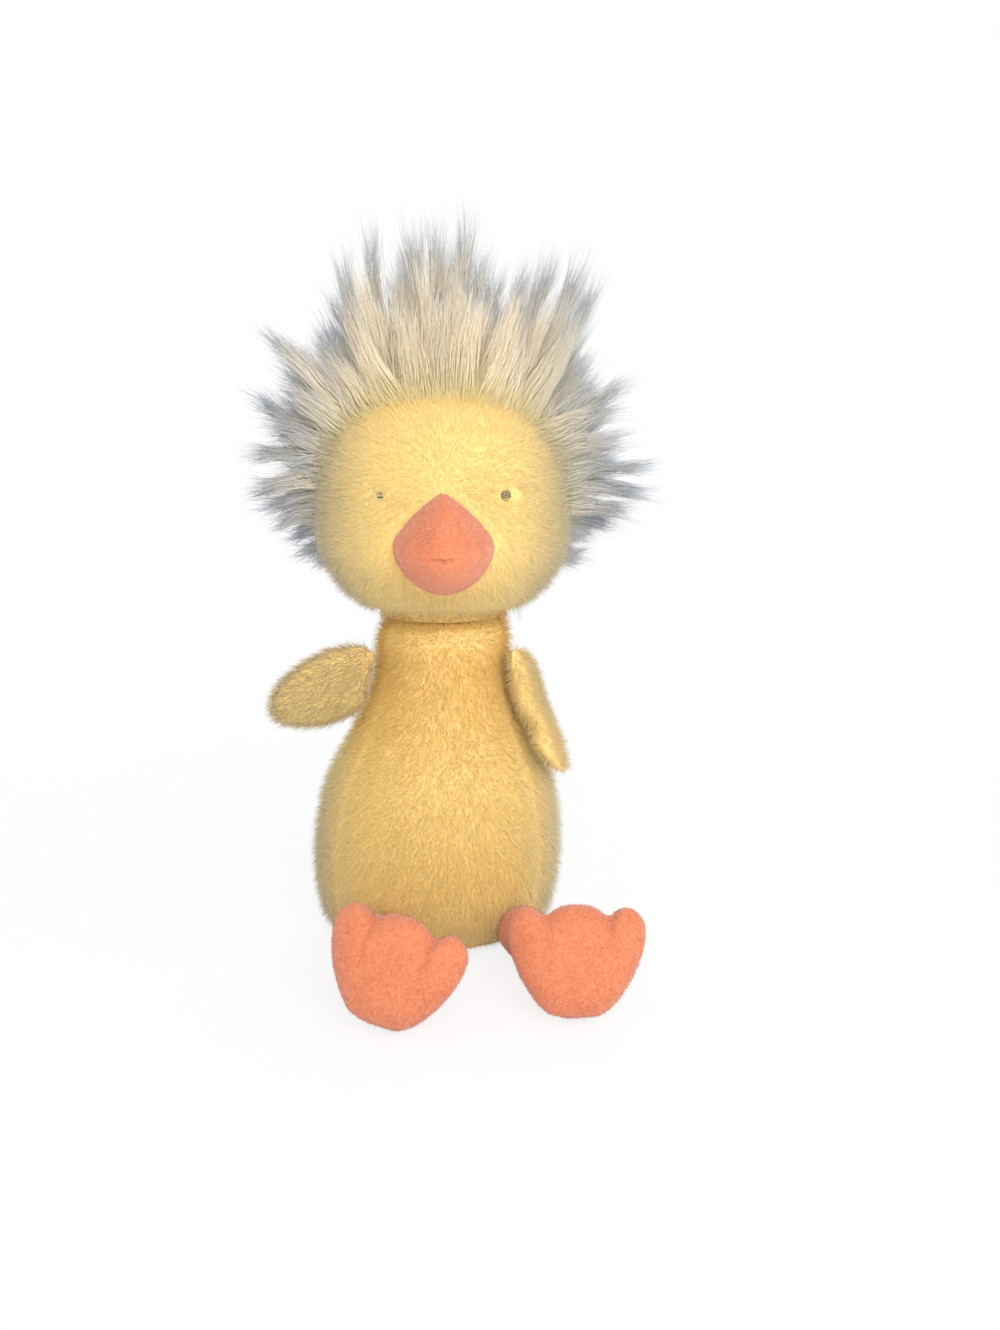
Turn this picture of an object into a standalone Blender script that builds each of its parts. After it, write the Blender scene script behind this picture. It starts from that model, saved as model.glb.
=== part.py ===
# A seated plush duck: pear-shaped body, round head with a long-pile crown, two-panel beak,
# two flat wings and two legs with padded three-toed feet.
# Metres, +Z up. The front faces -Y, so the duck's own left is +X.
# The origin is on the table, under the middle of the body.

import math
import random

import bmesh
import bpy
from mathutils import Matrix, Vector

# Clearances
SEAM_GAP = 0.0003
SEAT_GAP = 0.0006

# Body cover, at stations from the table to the neck seam
BASE_HALF_WIDTH = 0.0370
BASE_HALF_DEPTH = 0.0340
HAUNCH_HEIGHT = 0.0070
HAUNCH_HALF_WIDTH = 0.0500
HAUNCH_HALF_DEPTH = 0.0455
BELLY_HEIGHT = 0.0340
BELLY_HALF_WIDTH = 0.0555
BELLY_HALF_DEPTH = 0.0500
CHEST_HEIGHT = 0.0680
CHEST_HALF_WIDTH = 0.0515
CHEST_HALF_DEPTH = 0.0460
SHOULDER_HEIGHT = 0.0940
SHOULDER_HALF_WIDTH = 0.0390
SHOULDER_HALF_DEPTH = 0.0360
THROAT_HEIGHT = 0.1160
THROAT_RADIUS = 0.0315
NECK_HEIGHT = 0.1310
NECK_RADIUS = 0.0305
NECK_SEAM_RISE = 0.0060
NECK_SEAM_RADIUS = 0.0290
BODY_LEAN = 0.0045
BODY_COVER = 0.0060
SIDE_SEAM_ANGLE = 58.0

# Bean pouch in the seat
POUCH_HALF_WIDTH = 0.0330
POUCH_HALF_DEPTH = 0.0300
POUCH_HEIGHT = 0.0220

# Head
HEAD_HALF_WIDTH = 0.0535
HEAD_HALF_DEPTH = 0.0510
HEAD_HALF_HEIGHT = 0.0540
HEAD_FULLNESS = 2.4
HEAD_COVER = 0.0060
HEAD_RIM_LIFT = 0.0035
NECK_BALL_RADIUS = 0.0288

# Long-pile crown
CROWN_TILT = 54.0
CROWN_REACH = 88.0
UNDERFUR = 0.0030
LOCK_LENGTH_TOP = 0.0640
LOCK_LENGTH_SIDE = 0.0370
LOCK_LENGTH_NAPE = 0.0200
LOCK_RISE = 1.0
LEFT_CROWN_SHARE = 0.95
RIGHT_CROWN_SHARE = 0.98
LOCK_LENGTH_SPREAD = 0.18
LOCK_TIP = 0.0009
LOCK_LIFT = 0.42
LOCK_LEAN = 0.12
LOCK_ROWS = 5
LOCK_COLUMNS = 8

# Beak
BEAK_HALF_WIDTH = 0.0205
BEAK_UPPER_HEIGHT = 0.0205
BEAK_LOWER_HEIGHT = 0.0205
BEAK_LENGTH = 0.0270
BEAK_BELOW_CENTRE = 0.0133
BEAK_TIP_DROP = 0.0040
BEAK_COVER = 0.0018
BEAK_FULLNESS = 1.9
BEAK_BLUNTNESS = 0.72
BEAK_UPPER_POINT = 1.65
BEAK_LOWER_POINT = 1.12

# Eyes, sunk in the pile
EYE_RADIUS = 0.0031
EYE_STEM_RADIUS = 0.0012
EYE_STEM_LENGTH = 0.0044
EYE_SPACING = 0.0530
EYE_ABOVE_CENTRE = 0.0045
BACKING = 0.0012
WASHER_RADIUS = 0.0048
WASHER_THICKNESS = 0.0010
WASHER_SEAT_GAP = 0.0008

# Wings, as flat blades sewn into the side seams
WING_ABOVE_NECK = 0.0015
WING_TOP_HEIGHT = NECK_HEIGHT + WING_ABOVE_NECK
WING_ROOT_LENGTH = 0.0325
WING_SPAN = 0.0405
WING_DROP = 0.0410
WING_HALF_THICKNESS = 0.0050
WING_ROOT_RADIUS = 0.0035
WING_COVER = 0.0022
RIGHT_WING_FORWARD = 26.0
RIGHT_WING_DROOP = 0.0
RIGHT_WING_CURL = 0.0
LEFT_WING_FORWARD = -70.0
LEFT_WING_DROOP = 55.0
LEFT_WING_CURL = 0.0120

# Legs
LEG_RADIUS = 0.0110
LEG_SWELL = 0.0006
ANKLE_RADIUS = 0.0098
LEG_LENGTH = 0.0440
LEG_COVER = 0.0020
LEG_OPENING_ANGLE = 35.0
HIP_HEIGHT = 0.0135
HIP_SINK = 0.0042
LEFT_HIP_ANGLE = 38.0
LEFT_LEG_OUTWARD = 21.5
RIGHT_HIP_ANGLE = 25.0
RIGHT_LEG_OUTWARD = -14.0

# Feet
FOOT_HALF_WIDTH = 0.0272
FOOT_HEIGHT = 0.0455
FOOT_NOTCH_DEPTH = 0.0045
FOOT_SIDE = ((0.44, 0.05), (0.78, 0.30), (0.98, 0.58), (1.0, 0.82), (0.74, 0.97), (0.46, 0.9), (0.27, 0.97))
FOOT_HALF_THICKNESS = 0.0100
FOOT_COVER = 0.0020
ANKLE_ABOVE_HEEL = 0.0165
ANKLE_SINK = 0.0045
LEFT_FOOT_OUTWARD = 2.0
LEFT_FOOT_LEAN = 14.0
LEFT_FOOT_ROLL = 2.0
RIGHT_FOOT_OUTWARD = 14.0
RIGHT_FOOT_LEAN = 9.0
RIGHT_FOOT_ROLL = -15.0
FLOOR_GAP = 0.0009

# Facets
BODY_STEPS = 2
FRONT_COLUMNS = 6
SIDE_COLUMNS = 6
BALL_COLUMNS = 24
SEAT_COLUMNS = 16
FACE_ROWS = 5
PILLOW_ROWS = 3
WING_STEPS = 2
FOOT_STEPS = 2
LEG_COLUMNS = 10
EYE_COLUMNS = 10
BEAK_COLUMNS = 16
BEAK_ROWS = (0.0, 0.28, 0.55, 0.8, 0.94, 1.0)
BEAK_ROOT_ROWS = (0.0, 0.35, 0.7)


def clear_scene():
    for obj in list(bpy.data.objects):
        bpy.data.objects.remove(obj, do_unlink=True)


def new_material(name, color, roughness):
    material = bpy.data.materials.new(name)
    material.use_nodes = True
    shader = material.node_tree.nodes["Principled BSDF"]
    shader.inputs["Base Color"].default_value = (*color, 1.0)
    shader.inputs["Roughness"].default_value = roughness
    shader.inputs["Metallic"].default_value = 0.0
    return material


# A piece is built in world coordinates, and then its origin is set to its frame. Quads are
# split along the shorter diagonal, so that nested pieces have parallel facets.
def new_piece(name, bm, material, frame=None, smooth_angle=50.0):
    frame = frame or Matrix.Identity(4)
    bmesh.ops.remove_doubles(bm, verts=bm.verts, dist=1e-7)
    bmesh.ops.triangulate(bm, faces=bm.faces, quad_method="SHORT_EDGE")
    bmesh.ops.recalc_face_normals(bm, faces=bm.faces)
    if bm.calc_volume(signed=True) < 0:
        bmesh.ops.reverse_faces(bm, faces=bm.faces)
    bm.transform(frame.inverted())
    mesh = bpy.data.meshes.new(name)
    bm.to_mesh(mesh)
    bm.free()
    mesh.shade_smooth()
    mesh.set_sharp_from_angle(angle=math.radians(smooth_angle))
    mesh.materials.append(material)
    obj = bpy.data.objects.new(name, mesh)
    bpy.context.scene.collection.objects.link(obj)
    obj.matrix_world = frame
    return obj


def new_cutter(name, bm, material):
    cutter = new_piece(name, bm, material)
    cutter.hide_render = True
    cutter.display_type = "WIRE"
    return cutter


def cut(piece, cutter):
    modifier = piece.modifiers.new("cut_by_" + cutter.name, "BOOLEAN")
    modifier.operation = "DIFFERENCE"
    modifier.object = cutter


# A face on these corners, with a corner that repeats its neighbour left out.
def add_face(bm, corners):
    kept = [vert for i, vert in enumerate(corners) if vert is not corners[i - 1]]
    if len(kept) > 2:
        bm.faces.new(kept)


# A row whose points all meet is a pole with one vertex.
def add_row(bm, row):
    if all((point - row[0]).length < 1e-9 for point in row):
        return [bm.verts.new(row[0])] * len(row)
    return [bm.verts.new(point) for point in row]


def bridge_rows(bm, first, second, wrap=False):
    count = len(first)
    for j in range(count if wrap else count - 1):
        k = (j + 1) % count
        add_face(bm, [first[j], first[k], second[k], second[j]])


def add_grid(bm, rows, wrap):
    grid = [add_row(bm, row) for row in rows]
    for low, high in zip(grid, grid[1:]):
        bridge_rows(bm, low, high, wrap)
    return grid


def bridge_columns(bm, outside, inside, column):
    bridge_rows(bm, [row[column] for row in outside], [row[column] for row in inside])


# A cover panel: an outer grid, an inner grid and the rims between them.
def panel_mesh(outer, inner, wrap=False, last_rim=True):
    bm = bmesh.new()
    outside = add_grid(bm, outer, wrap)
    inside = add_grid(bm, inner, wrap)
    bridge_rows(bm, outside[0], inside[0], wrap)
    if last_rim:
        bridge_rows(bm, outside[-1], inside[-1], wrap)
    if not wrap:
        bridge_columns(bm, outside, inside, 0)
        bridge_columns(bm, outside, inside, -1)
    return bm


# A closed solid lofted through rings, from a pole or a flat end to the other.
def loft_mesh(rings):
    bm = bmesh.new()
    grid = add_grid(bm, rings, True)
    for row in (grid[0], grid[-1]):
        if row[0] is not row[1]:
            bm.faces.new(row)
    return bm


# Rings about an axis, from pairs of distance along it and radius.
def turned_rings(profile, origin, axis, columns):
    turn = axis.to_track_quat("Z", "Y")
    rings = []
    for along, radius in profile:
        ring = []
        for j in range(columns):
            angle = math.tau * j / columns
            spoke = Vector((radius * math.cos(angle), radius * math.sin(angle), along))
            ring.append(origin + turn @ spoke)
        rings.append(ring)
    return rings


def ball_mesh(center, radius, columns):
    rows = columns // 2
    profile = []
    for k in range(rows + 1):
        angle = math.pi * k / rows
        width = 0.0 if k in (0, rows) else radius * math.sin(angle)
        profile.append((-radius * math.cos(angle), width))
    return loft_mesh(turned_rings(profile, center, Vector((0, 0, 1)), columns))


# A smooth curve through its knots, with the same number of steps on each span.
def smooth_path(knots, steps, closed=False):
    knots = [Vector(knot) for knot in knots]
    count = len(knots)
    path = []
    for i in range(count if closed else count - 1):
        start = knots[i]
        end = knots[(i + 1) % count]
        before = knots[i - 1] if closed or i > 0 else start
        after = knots[(i + 2) % count] if closed or i + 2 < count else end
        span = (end - start).length
        start_slope = (end - before) / (span + (start - before).length)
        end_slope = (after - start) / (span + (after - end).length)
        for k in range(steps):
            u = k / steps
            point = start * (2 * u**3 - 3 * u**2 + 1)
            point += end * (3 * u**2 - 2 * u**3)
            point += start_slope * span * (u**3 - 2 * u**2 + u)
            point += end_slope * span * (u**3 - u**2)
            path.append(point)
    if not closed:
        path.append(knots[-1])
    return path


# Each station of the body is its half width, its half depth and its height.
def body_stations():
    knots = (
        (BASE_HALF_WIDTH, BASE_HALF_DEPTH, 0.0),
        (HAUNCH_HALF_WIDTH, HAUNCH_HALF_DEPTH, HAUNCH_HEIGHT),
        (BELLY_HALF_WIDTH, BELLY_HALF_DEPTH, BELLY_HEIGHT),
        (CHEST_HALF_WIDTH, CHEST_HALF_DEPTH, CHEST_HEIGHT),
        (SHOULDER_HALF_WIDTH, SHOULDER_HALF_DEPTH, SHOULDER_HEIGHT),
        (THROAT_RADIUS, THROAT_RADIUS, THROAT_HEIGHT),
        (NECK_RADIUS, NECK_RADIUS, NECK_HEIGHT),
        (NECK_SEAM_RADIUS, NECK_SEAM_RADIUS, NECK_HEIGHT + NECK_SEAM_RISE),
    )
    return smooth_path(knots, BODY_STEPS)


def inset_stations(stations, depth):
    inset = []
    last = len(stations) - 1
    for i, station in enumerate(stations):
        along = stations[min(i + 1, last)] - stations[max(i - 1, 0)]
        length = math.hypot(along.x, along.z)
        inward = depth * along.z / length
        height = station.z if i == last else station.z + depth * along.x / length
        inset.append(Vector((station.x - inward, station.y - inward, height)))
    return inset


# The body leans a little to its own left.
def lean(height):
    return BODY_LEAN * height / NECK_HEIGHT


def body_point(station, degrees):
    angle = math.radians(degrees)
    across = station.x * math.sin(angle) + lean(station.z)
    return Vector((across, -station.y * math.cos(angle), station.z))


def body_station_at(height):
    stations = body_stations()
    for low, high in zip(stations, stations[1:]):
        if high.z >= height:
            return low.lerp(high, (height - low.z) / (high.z - low.z))
    return stations[-1]


# The panel's edges stand half a seam gap off the seam lines.
def body_panel(name, start, end, columns, material):
    def grid(stations):
        rows = []
        for station in stations:
            edge = math.degrees(SEAM_GAP / 2 / station.x)
            step = (end - start - 2 * edge) / columns
            rows.append([body_point(station, start + edge + step * j) for j in range(columns + 1)])
        return rows

    outer = body_stations()
    inner = inset_stations(outer, BODY_COVER)
    return new_piece(name, panel_mesh(grid(outer), grid(inner)), material)


# Every ring of the body has its corners where the panels have theirs.
def body_angles():
    angles = []
    seams = (-SIDE_SEAM_ANGLE, SIDE_SEAM_ANGLE, 180, 360 - SIDE_SEAM_ANGLE)
    counts = (FRONT_COLUMNS, SIDE_COLUMNS, SIDE_COLUMNS)
    for start, end, count in zip(seams, seams[1:], counts):
        angles += [start + (end - start) * j / count for j in range(count)]
    return angles


def body_ring(station, shrink=0.0):
    smaller = station - Vector((shrink, shrink, 0))
    return [body_point(smaller, degrees) for degrees in body_angles()]


def base_rings():
    outer = body_stations()
    inner = inset_stations(outer, BODY_COVER)
    return [body_ring(outer[0], SEAM_GAP), body_ring(inner[0], SEAM_GAP)]


# The pouch is a dome with a rounded foot. Its hollow is larger, and open at the bottom.
def pouch_rings(grow=0.0, hollow=False):
    floor = base_rings()[-1][0].z + SEAM_GAP
    foot = -20.0
    rows = 5
    low = math.sin(math.radians(foot))
    rings = []
    for k in range(rows + 1):
        angle = math.radians(foot + (90 - foot) * k / rows)
        keep = 0.0 if k == rows else math.cos(angle) ** 0.6
        rise = (math.sin(angle) - low) / (1 - low)
        station = Vector((
            (POUCH_HALF_WIDTH + grow) * keep,
            (POUCH_HALF_DEPTH + grow) * keep,
            floor + (POUCH_HEIGHT + grow) * rise,
        ))
        rings.append(body_ring(station)[::2])
    if hollow:
        rings.insert(0, [point - Vector((0, 0, BODY_COVER)) for point in rings[0]])
    return rings


def make_body(pile, filling, beans, cutting):
    front = body_panel("body_front_panel", -SIDE_SEAM_ANGLE, SIDE_SEAM_ANGLE, FRONT_COLUMNS, pile)
    body_panel("body_left_panel", SIDE_SEAM_ANGLE, 180, SIDE_COLUMNS, pile)
    body_panel("body_right_panel", -180, -SIDE_SEAM_ANGLE, SIDE_COLUMNS, pile)
    new_piece("base_panel", loft_mesh(base_rings()), pile)
    stations = inset_stations(body_stations(), BODY_COVER + 2 * SEAM_GAP)
    stations[-1].z -= SEAM_GAP
    rings = [body_ring(station) for station in stations]
    stuffing = new_piece("body_stuffing", loft_mesh(rings), filling)
    cut(stuffing, new_cutter("pouch_hollow", loft_mesh(pouch_rings(SEAM_GAP, True)), cutting))
    new_piece("bean_pouch", loft_mesh(pouch_rings()), beans)
    return front


def neck_pivot():
    height = NECK_HEIGHT + NECK_SEAM_RISE
    return Vector((lean(height), 0, height))


def neck_frame():
    return Matrix.Translation(neck_pivot())


# A half ball on the body's top seam, which the head turns and nods on.
def make_neck(filling):
    rows = 5
    profile = []
    for k in range(rows + 1):
        angle = math.radians(90 * k / rows)
        width = 0.0 if k == rows else NECK_BALL_RADIUS * math.cos(angle)
        profile.append((NECK_BALL_RADIUS * math.sin(angle) + SEAM_GAP, width))
    rings = turned_rings(profile, neck_pivot(), Vector((0, 0, 1)), BALL_COLUMNS)
    new_piece("neck_stuffing", loft_mesh(rings), filling, neck_frame())


# The head sits as deep on the neck ball as their two outlines meet, less the rim's lift.
def head_center():
    taken = (NECK_BALL_RADIUS / HEAD_HALF_WIDTH) ** HEAD_FULLNESS
    seat = (1 - taken) ** (1 / HEAD_FULLNESS)
    rise = HEAD_HALF_HEIGHT * seat + HEAD_RIM_LIFT
    return neck_pivot() + Vector((0, 0, rise))


def head_point(direction, inset):
    width = HEAD_HALF_WIDTH - inset
    depth = HEAD_HALF_DEPTH - inset
    height = HEAD_HALF_HEIGHT - inset
    scaled = (direction.x / width, direction.y / depth, direction.z / height)
    size = sum(abs(part) ** HEAD_FULLNESS for part in scaled) ** (1 / HEAD_FULLNESS)
    return head_center() + direction / size


# The front of the head at a place beside and above its centre.
def head_front(across, above, grow=0.0):
    width = HEAD_HALF_WIDTH + grow
    height = HEAD_HALF_HEIGHT + grow
    taken = abs(across / width) ** HEAD_FULLNESS + abs(above / height) ** HEAD_FULLNESS
    return -(HEAD_HALF_DEPTH + grow) * (1 - taken) ** (1 / HEAD_FULLNESS)


# Directions are measured from the crown's axis, which leans back from the vertical.
def crown_direction(reach, around):
    tilt = math.radians(CROWN_TILT)
    axis = Vector((0, math.sin(tilt), math.cos(tilt)))
    side = Vector((1, 0, 0))
    fall = axis.cross(side)
    reach = math.radians(reach)
    around = math.radians(around)
    spoke = side * math.cos(around) + fall * math.sin(around)
    return axis * math.cos(reach) + spoke * math.sin(reach)


def head_rows(first_reach, last_reach, count, inset):
    rows = []
    for i in range(count + 1):
        reach = first_reach + (last_reach - first_reach) * i / count
        step = 0 if reach in (0, 180) else 180 / LOCK_COLUMNS
        row = [crown_direction(reach, step * j) for j in range(2 * LOCK_COLUMNS)]
        rows.append([head_point(direction, inset) for direction in row])
    return rows


def hairline_reach(side):
    return CROWN_REACH + side * math.degrees(SEAM_GAP / 2 / HEAD_HALF_WIDTH)


def make_head_core(pile, filling, cutting):
    outer = head_rows(hairline_reach(1), 180, FACE_ROWS, 0.0)
    inner = head_rows(hairline_reach(1), 180, FACE_ROWS, HEAD_COVER)
    face_mesh = panel_mesh(outer, inner, wrap=True, last_rim=False)
    face = new_piece("face_panel", face_mesh, pile, neck_frame())
    core_depth = HEAD_COVER + SEAT_GAP + SEAM_GAP
    core = head_rows(0, CROWN_REACH, LOCK_ROWS, core_depth)
    core += head_rows(CROWN_REACH, 180, FACE_ROWS, core_depth)[1:]
    stuffing = new_piece("head_stuffing", loft_mesh(core), filling, neck_frame())
    socket_mesh = ball_mesh(neck_pivot(), NECK_BALL_RADIUS + SEAT_GAP, BALL_COLUMNS)
    socket = new_cutter("neck_socket", socket_mesh, cutting)
    cut(face, socket)
    cut(stuffing, socket)
    return face, stuffing


# One tapering lock of long pile, grown in two bends out of a cell of the underfur.
def grow_lock(bm, corners, share, chance):
    center = sum((vert.co for vert in corners), Vector()) / len(corners)
    radial = (center - head_center()).normalized()
    upward = max(radial.z, 0.0) ** LOCK_RISE
    downward = min(-2 * radial.z, 1.0) if radial.z < 0 else 0.0
    length = LOCK_LENGTH_SIDE + (LOCK_LENGTH_TOP - LOCK_LENGTH_SIDE) * upward
    length += (LOCK_LENGTH_NAPE - LOCK_LENGTH_SIDE) * downward
    length *= share * chance.uniform(1 - LOCK_LENGTH_SPREAD, 1.0)
    lean = Vector([chance.uniform(-LOCK_LEAN, LOCK_LEAN) for _ in range(3)])
    way = (radial + Vector((0, 0, LOCK_LIFT)) + lean).normalized()
    bend = radial.lerp(way, 0.4).normalized()
    low = corners
    for reach, keep, along in ((0.45, 0.6, bend), (1.0, 0.0, way)):
        high = []
        for vert in corners:
            spread = vert.co - center
            spread -= along * spread.dot(along)
            spread = spread * keep if keep else spread.normalized() * LOCK_TIP
            high.append(bm.verts.new(center + along * length * reach + spread))
        bridge_rows(bm, low, high, wrap=True)
        low = high
    bm.faces.new(low)


# Half of the long-pile crown: a cover panel whose outer cells each carry a lock.
def make_crown(name, side, share, material, seed):
    chance = random.Random(seed)
    last_reach = hairline_reach(-1)
    middle = head_center().x

    def grid(inset):
        rows = []
        for i in range(LOCK_ROWS + 1):
            reach = last_reach * i / LOCK_ROWS
            row = []
            for j in range(LOCK_COLUMNS + 1):
                around = -90 + 180 * j / LOCK_COLUMNS if i else 0.0
                point = head_point(crown_direction(reach, around), inset)
                across = max(point.x - middle, SEAM_GAP / 2)
                row.append(Vector((middle + side * across, point.y, point.z)))
            rows.append(row)
        return rows

    bm = bmesh.new()
    outside = [add_row(bm, row) for row in grid(-UNDERFUR)]
    inside = add_grid(bm, grid(HEAD_COVER), False)
    for low, high in zip(outside, outside[1:]):
        for j in range(LOCK_COLUMNS):
            corners = [low[j], low[j + 1], high[j + 1], high[j]]
            if low[j] is low[j + 1]:
                corners = corners[1:]
            grow_lock(bm, corners, share, chance)
    bridge_rows(bm, outside[-1], inside[-1])
    bridge_columns(bm, outside, inside, 0)
    bridge_columns(bm, outside, inside, -1)
    new_piece(name, bm, material, neck_frame(), 35.0)


# The beak's outline runs from a rounded diamond on the face to a blunt tip.
def beak_rows(shrink, start, end, columns, mouth=0.0):
    width = BEAK_HALF_WIDTH - shrink
    upper = BEAK_UPPER_HEIGHT - shrink
    lower = BEAK_LOWER_HEIGHT - shrink
    tip_front = -HEAD_HALF_DEPTH - SEAM_GAP - BEAK_LENGTH + shrink
    rows = []
    for share in BEAK_ROWS:
        size = (1 - share**BEAK_FULLNESS) ** BEAK_BLUNTNESS
        row = []
        for j in range(columns + 1):
            angle = math.radians(start + (end - start) * j / columns)
            point = BEAK_UPPER_POINT if math.sin(angle) > 0 else BEAK_LOWER_POINT
            across = width * math.copysign(abs(math.cos(angle)) ** point, math.cos(angle))
            above = math.copysign(abs(math.sin(angle)) ** point, math.sin(angle))
            above *= upper if above > 0 else lower
            root = head_front(across, above - BEAK_BELOW_CENTRE, SEAM_GAP)
            front = root + (tip_front - root) * share
            height = above * size - BEAK_BELOW_CENTRE - BEAK_TIP_DROP * share + mouth
            row.append(head_center() + Vector((across * size, front, height)))
        rows.append(row)
    return rows


# Rings on the face that close the root of the beak's filling.
def beak_root_rows(root):
    middle = head_center() + Vector((0, 0, -BEAK_BELOW_CENTRE))
    rows = []
    for size in BEAK_ROOT_ROWS:
        row = []
        for point in root:
            across = (point.x - middle.x) * size
            above = (point.z - middle.z) * size
            front = head_front(across, above - BEAK_BELOW_CENTRE, 2 * SEAM_GAP)
            row.append(middle + Vector((across, front, above)))
        rows.append(row)
    return rows


def make_beak(cloth, filling):
    columns = BEAK_COLUMNS // 2
    for name, start, mouth in (("upper", 0, SEAM_GAP / 2), ("lower", 180, -SEAM_GAP / 2)):
        outer = beak_rows(0.0, start, start + 180, columns, mouth)
        inner = beak_rows(BEAK_COVER, start, start + 180, columns, mouth)
        bm = panel_mesh(outer, inner, last_rim=False)
        new_piece(f"beak_{name}_panel", bm, cloth, neck_frame())
    core = beak_rows(BEAK_COVER + 2 * SEAM_GAP, 0, 360, BEAK_COLUMNS)
    core = [row[:-1] for row in core]
    rings = beak_root_rows(core[0]) + core
    new_piece("beak_stuffing", loft_mesh(rings), filling, neck_frame())


# An eye's place on the head's surface, and its outward direction.
def eye_place(side):
    across = side * EYE_SPACING / 2
    front = head_front(across, EYE_ABOVE_CENTRE)
    outward = Vector((
        side * (abs(across) / HEAD_HALF_WIDTH) ** (HEAD_FULLNESS - 1) / HEAD_HALF_WIDTH,
        -((-front / HEAD_HALF_DEPTH) ** (HEAD_FULLNESS - 1)) / HEAD_HALF_DEPTH,
        (EYE_ABOVE_CENTRE / HEAD_HALF_HEIGHT) ** (HEAD_FULLNESS - 1) / HEAD_HALF_HEIGHT,
    ))
    return head_center() + Vector((across, front, EYE_ABOVE_CENTRE)), outward.normalized()


def make_eye(name, side, face, stuffing, materials):
    place, outward = eye_place(side)
    back = -(HEAD_COVER - BACKING)
    stem_end = back - EYE_STEM_LENGTH
    profile = [(stem_end, EYE_STEM_RADIUS), (back, EYE_STEM_RADIUS)]
    for degrees in (0, 25, 50, 72):
        angle = math.radians(degrees)
        profile.append((back + EYE_RADIUS * math.sin(angle), EYE_RADIUS * math.cos(angle)))
    profile.append((back + EYE_RADIUS, 0.0))
    rings = turned_rings(profile, place, outward, EYE_COLUMNS)
    new_piece("eye_" + name, loft_mesh(rings), materials["eye"], neck_frame())

    stem_hole = EYE_STEM_RADIUS + SEAM_GAP
    washer_front = -(HEAD_COVER + WASHER_SEAT_GAP)
    washer_back = washer_front - WASHER_THICKNESS
    disc = [
        turned_rings([(washer_front, radius), (washer_back, radius)], place, outward, EYE_COLUMNS)
        for radius in (WASHER_RADIUS, stem_hole)
    ]
    washer_mesh = panel_mesh(disc[0], disc[1], wrap=True)
    new_piece("eye_washer_" + name, washer_mesh, materials["washer"], neck_frame())

    bead_hole = EYE_RADIUS + SEAM_GAP
    washer_hole = WASHER_RADIUS + SEAM_GAP
    pocket = [
        (washer_back - WASHER_THICKNESS, washer_hole),
        (washer_front + SEAM_GAP, washer_hole),
        (washer_front + SEAM_GAP, stem_hole),
        (back - SEAM_GAP, stem_hole),
        (back - SEAM_GAP, bead_hole),
        (HEAD_COVER, bead_hole),
    ]
    pocket_mesh = loft_mesh(turned_rings(pocket, place, outward, EYE_COLUMNS))
    cut(face, new_cutter("eye_pocket_" + name, pocket_mesh, materials["cutter"]))
    pit = [
        (stem_end - SEAM_GAP, stem_hole),
        (washer_back - SEAM_GAP, stem_hole),
        (washer_back - SEAM_GAP, washer_hole),
        (back, washer_hole),
    ]
    pit_mesh = loft_mesh(turned_rings(pit, place, outward, EYE_COLUMNS))
    cut(stuffing, new_cutter("washer_pit_" + name, pit_mesh, materials["cutter"]))


# A closed outline moved inwards by a depth.
def inset_outline(outline, depth):
    inset = []
    for i, point in enumerate(outline):
        along = (outline[(i + 1) % len(outline)] - outline[i - 1]).normalized()
        inset.append(point + Vector((-along.y, along.x)) * depth)
    return inset


# Rings of a pillow from its edge to the middle of one side.
def pillow_rows(outline, middle, half_thickness, side, edge, curl=None):
    mean = sum((point - middle).length for point in outline) / len(outline)
    rows = []
    for k in range(PILLOW_ROWS + 1):
        angle = math.radians(90 * k / PILLOW_ROWS)
        size = 0.0 if k == PILLOW_ROWS else math.cos(angle) ** 0.62
        height = side * max(half_thickness * math.sin(angle), edge)
        row = []
        for point in outline:
            spoke = point - middle
            spoke = spoke.lerp(spoke.normalized() * mean, 0.6 * (1 - size)) * size
            point = Vector((middle.x + spoke.x, middle.y + spoke.y, height))
            point.z += curl(point) if curl else 0.0
            row.append(point)
        rows.append(row)
    return rows


def pillow_panel(name, outline, middle, thick, cover, curl, side, frame, material):
    outer = pillow_rows(outline, middle, thick, side, SEAM_GAP / 2, curl)
    lining = inset_outline(outline, cover)
    inner = pillow_rows(lining, middle, thick - cover, side, SEAM_GAP / 2, curl)
    bm = panel_mesh(outer, inner, wrap=True, last_rim=False)
    bm.transform(frame)
    return new_piece(name, bm, material, frame)


def pillow_stuffing(name, outline, middle, thick, cover, curl, frame, material):
    depth = cover + SEAT_GAP
    core = inset_outline(outline, depth)
    front = pillow_rows(core, middle, thick - depth, 1, 0.0, curl)
    rear = pillow_rows(core, middle, thick - depth, -1, 0.0, curl)
    bm = loft_mesh(front[::-1] + rear[1:])
    bm.transform(frame)
    return new_piece(name, bm, material, frame)


# The wing's outline, down its root seam and outwards from it. A drooping wing bends down
# more the further it is from the seam.
def wing_outline(droop):
    shares = (
        (0.06, 0.30), (0.28, 0.70), (0.55, 0.95), (0.82, 1.00),
        (0.99, 0.84), (0.99, 0.50), (0.90, 0.20),
    )
    root = -WING_ROOT_RADIUS
    pivot = Vector((WING_ROOT_LENGTH / 2, 0))
    knots = [(WING_ROOT_LENGTH * 0.9, root * 0.75)]
    knots += [(WING_ROOT_LENGTH * 0.5, root), (WING_ROOT_LENGTH * 0.1, root * 0.75)]
    for down, out in shares:
        arm = Vector((WING_DROP * down, WING_SPAN * out)) - pivot
        bend = Matrix.Rotation(math.radians(-droop) * min(1.6 * out, 1.0), 2)
        knots.append(pivot + bend @ arm)
    return smooth_path(knots, WING_STEPS, closed=True)[::-1]


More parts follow.
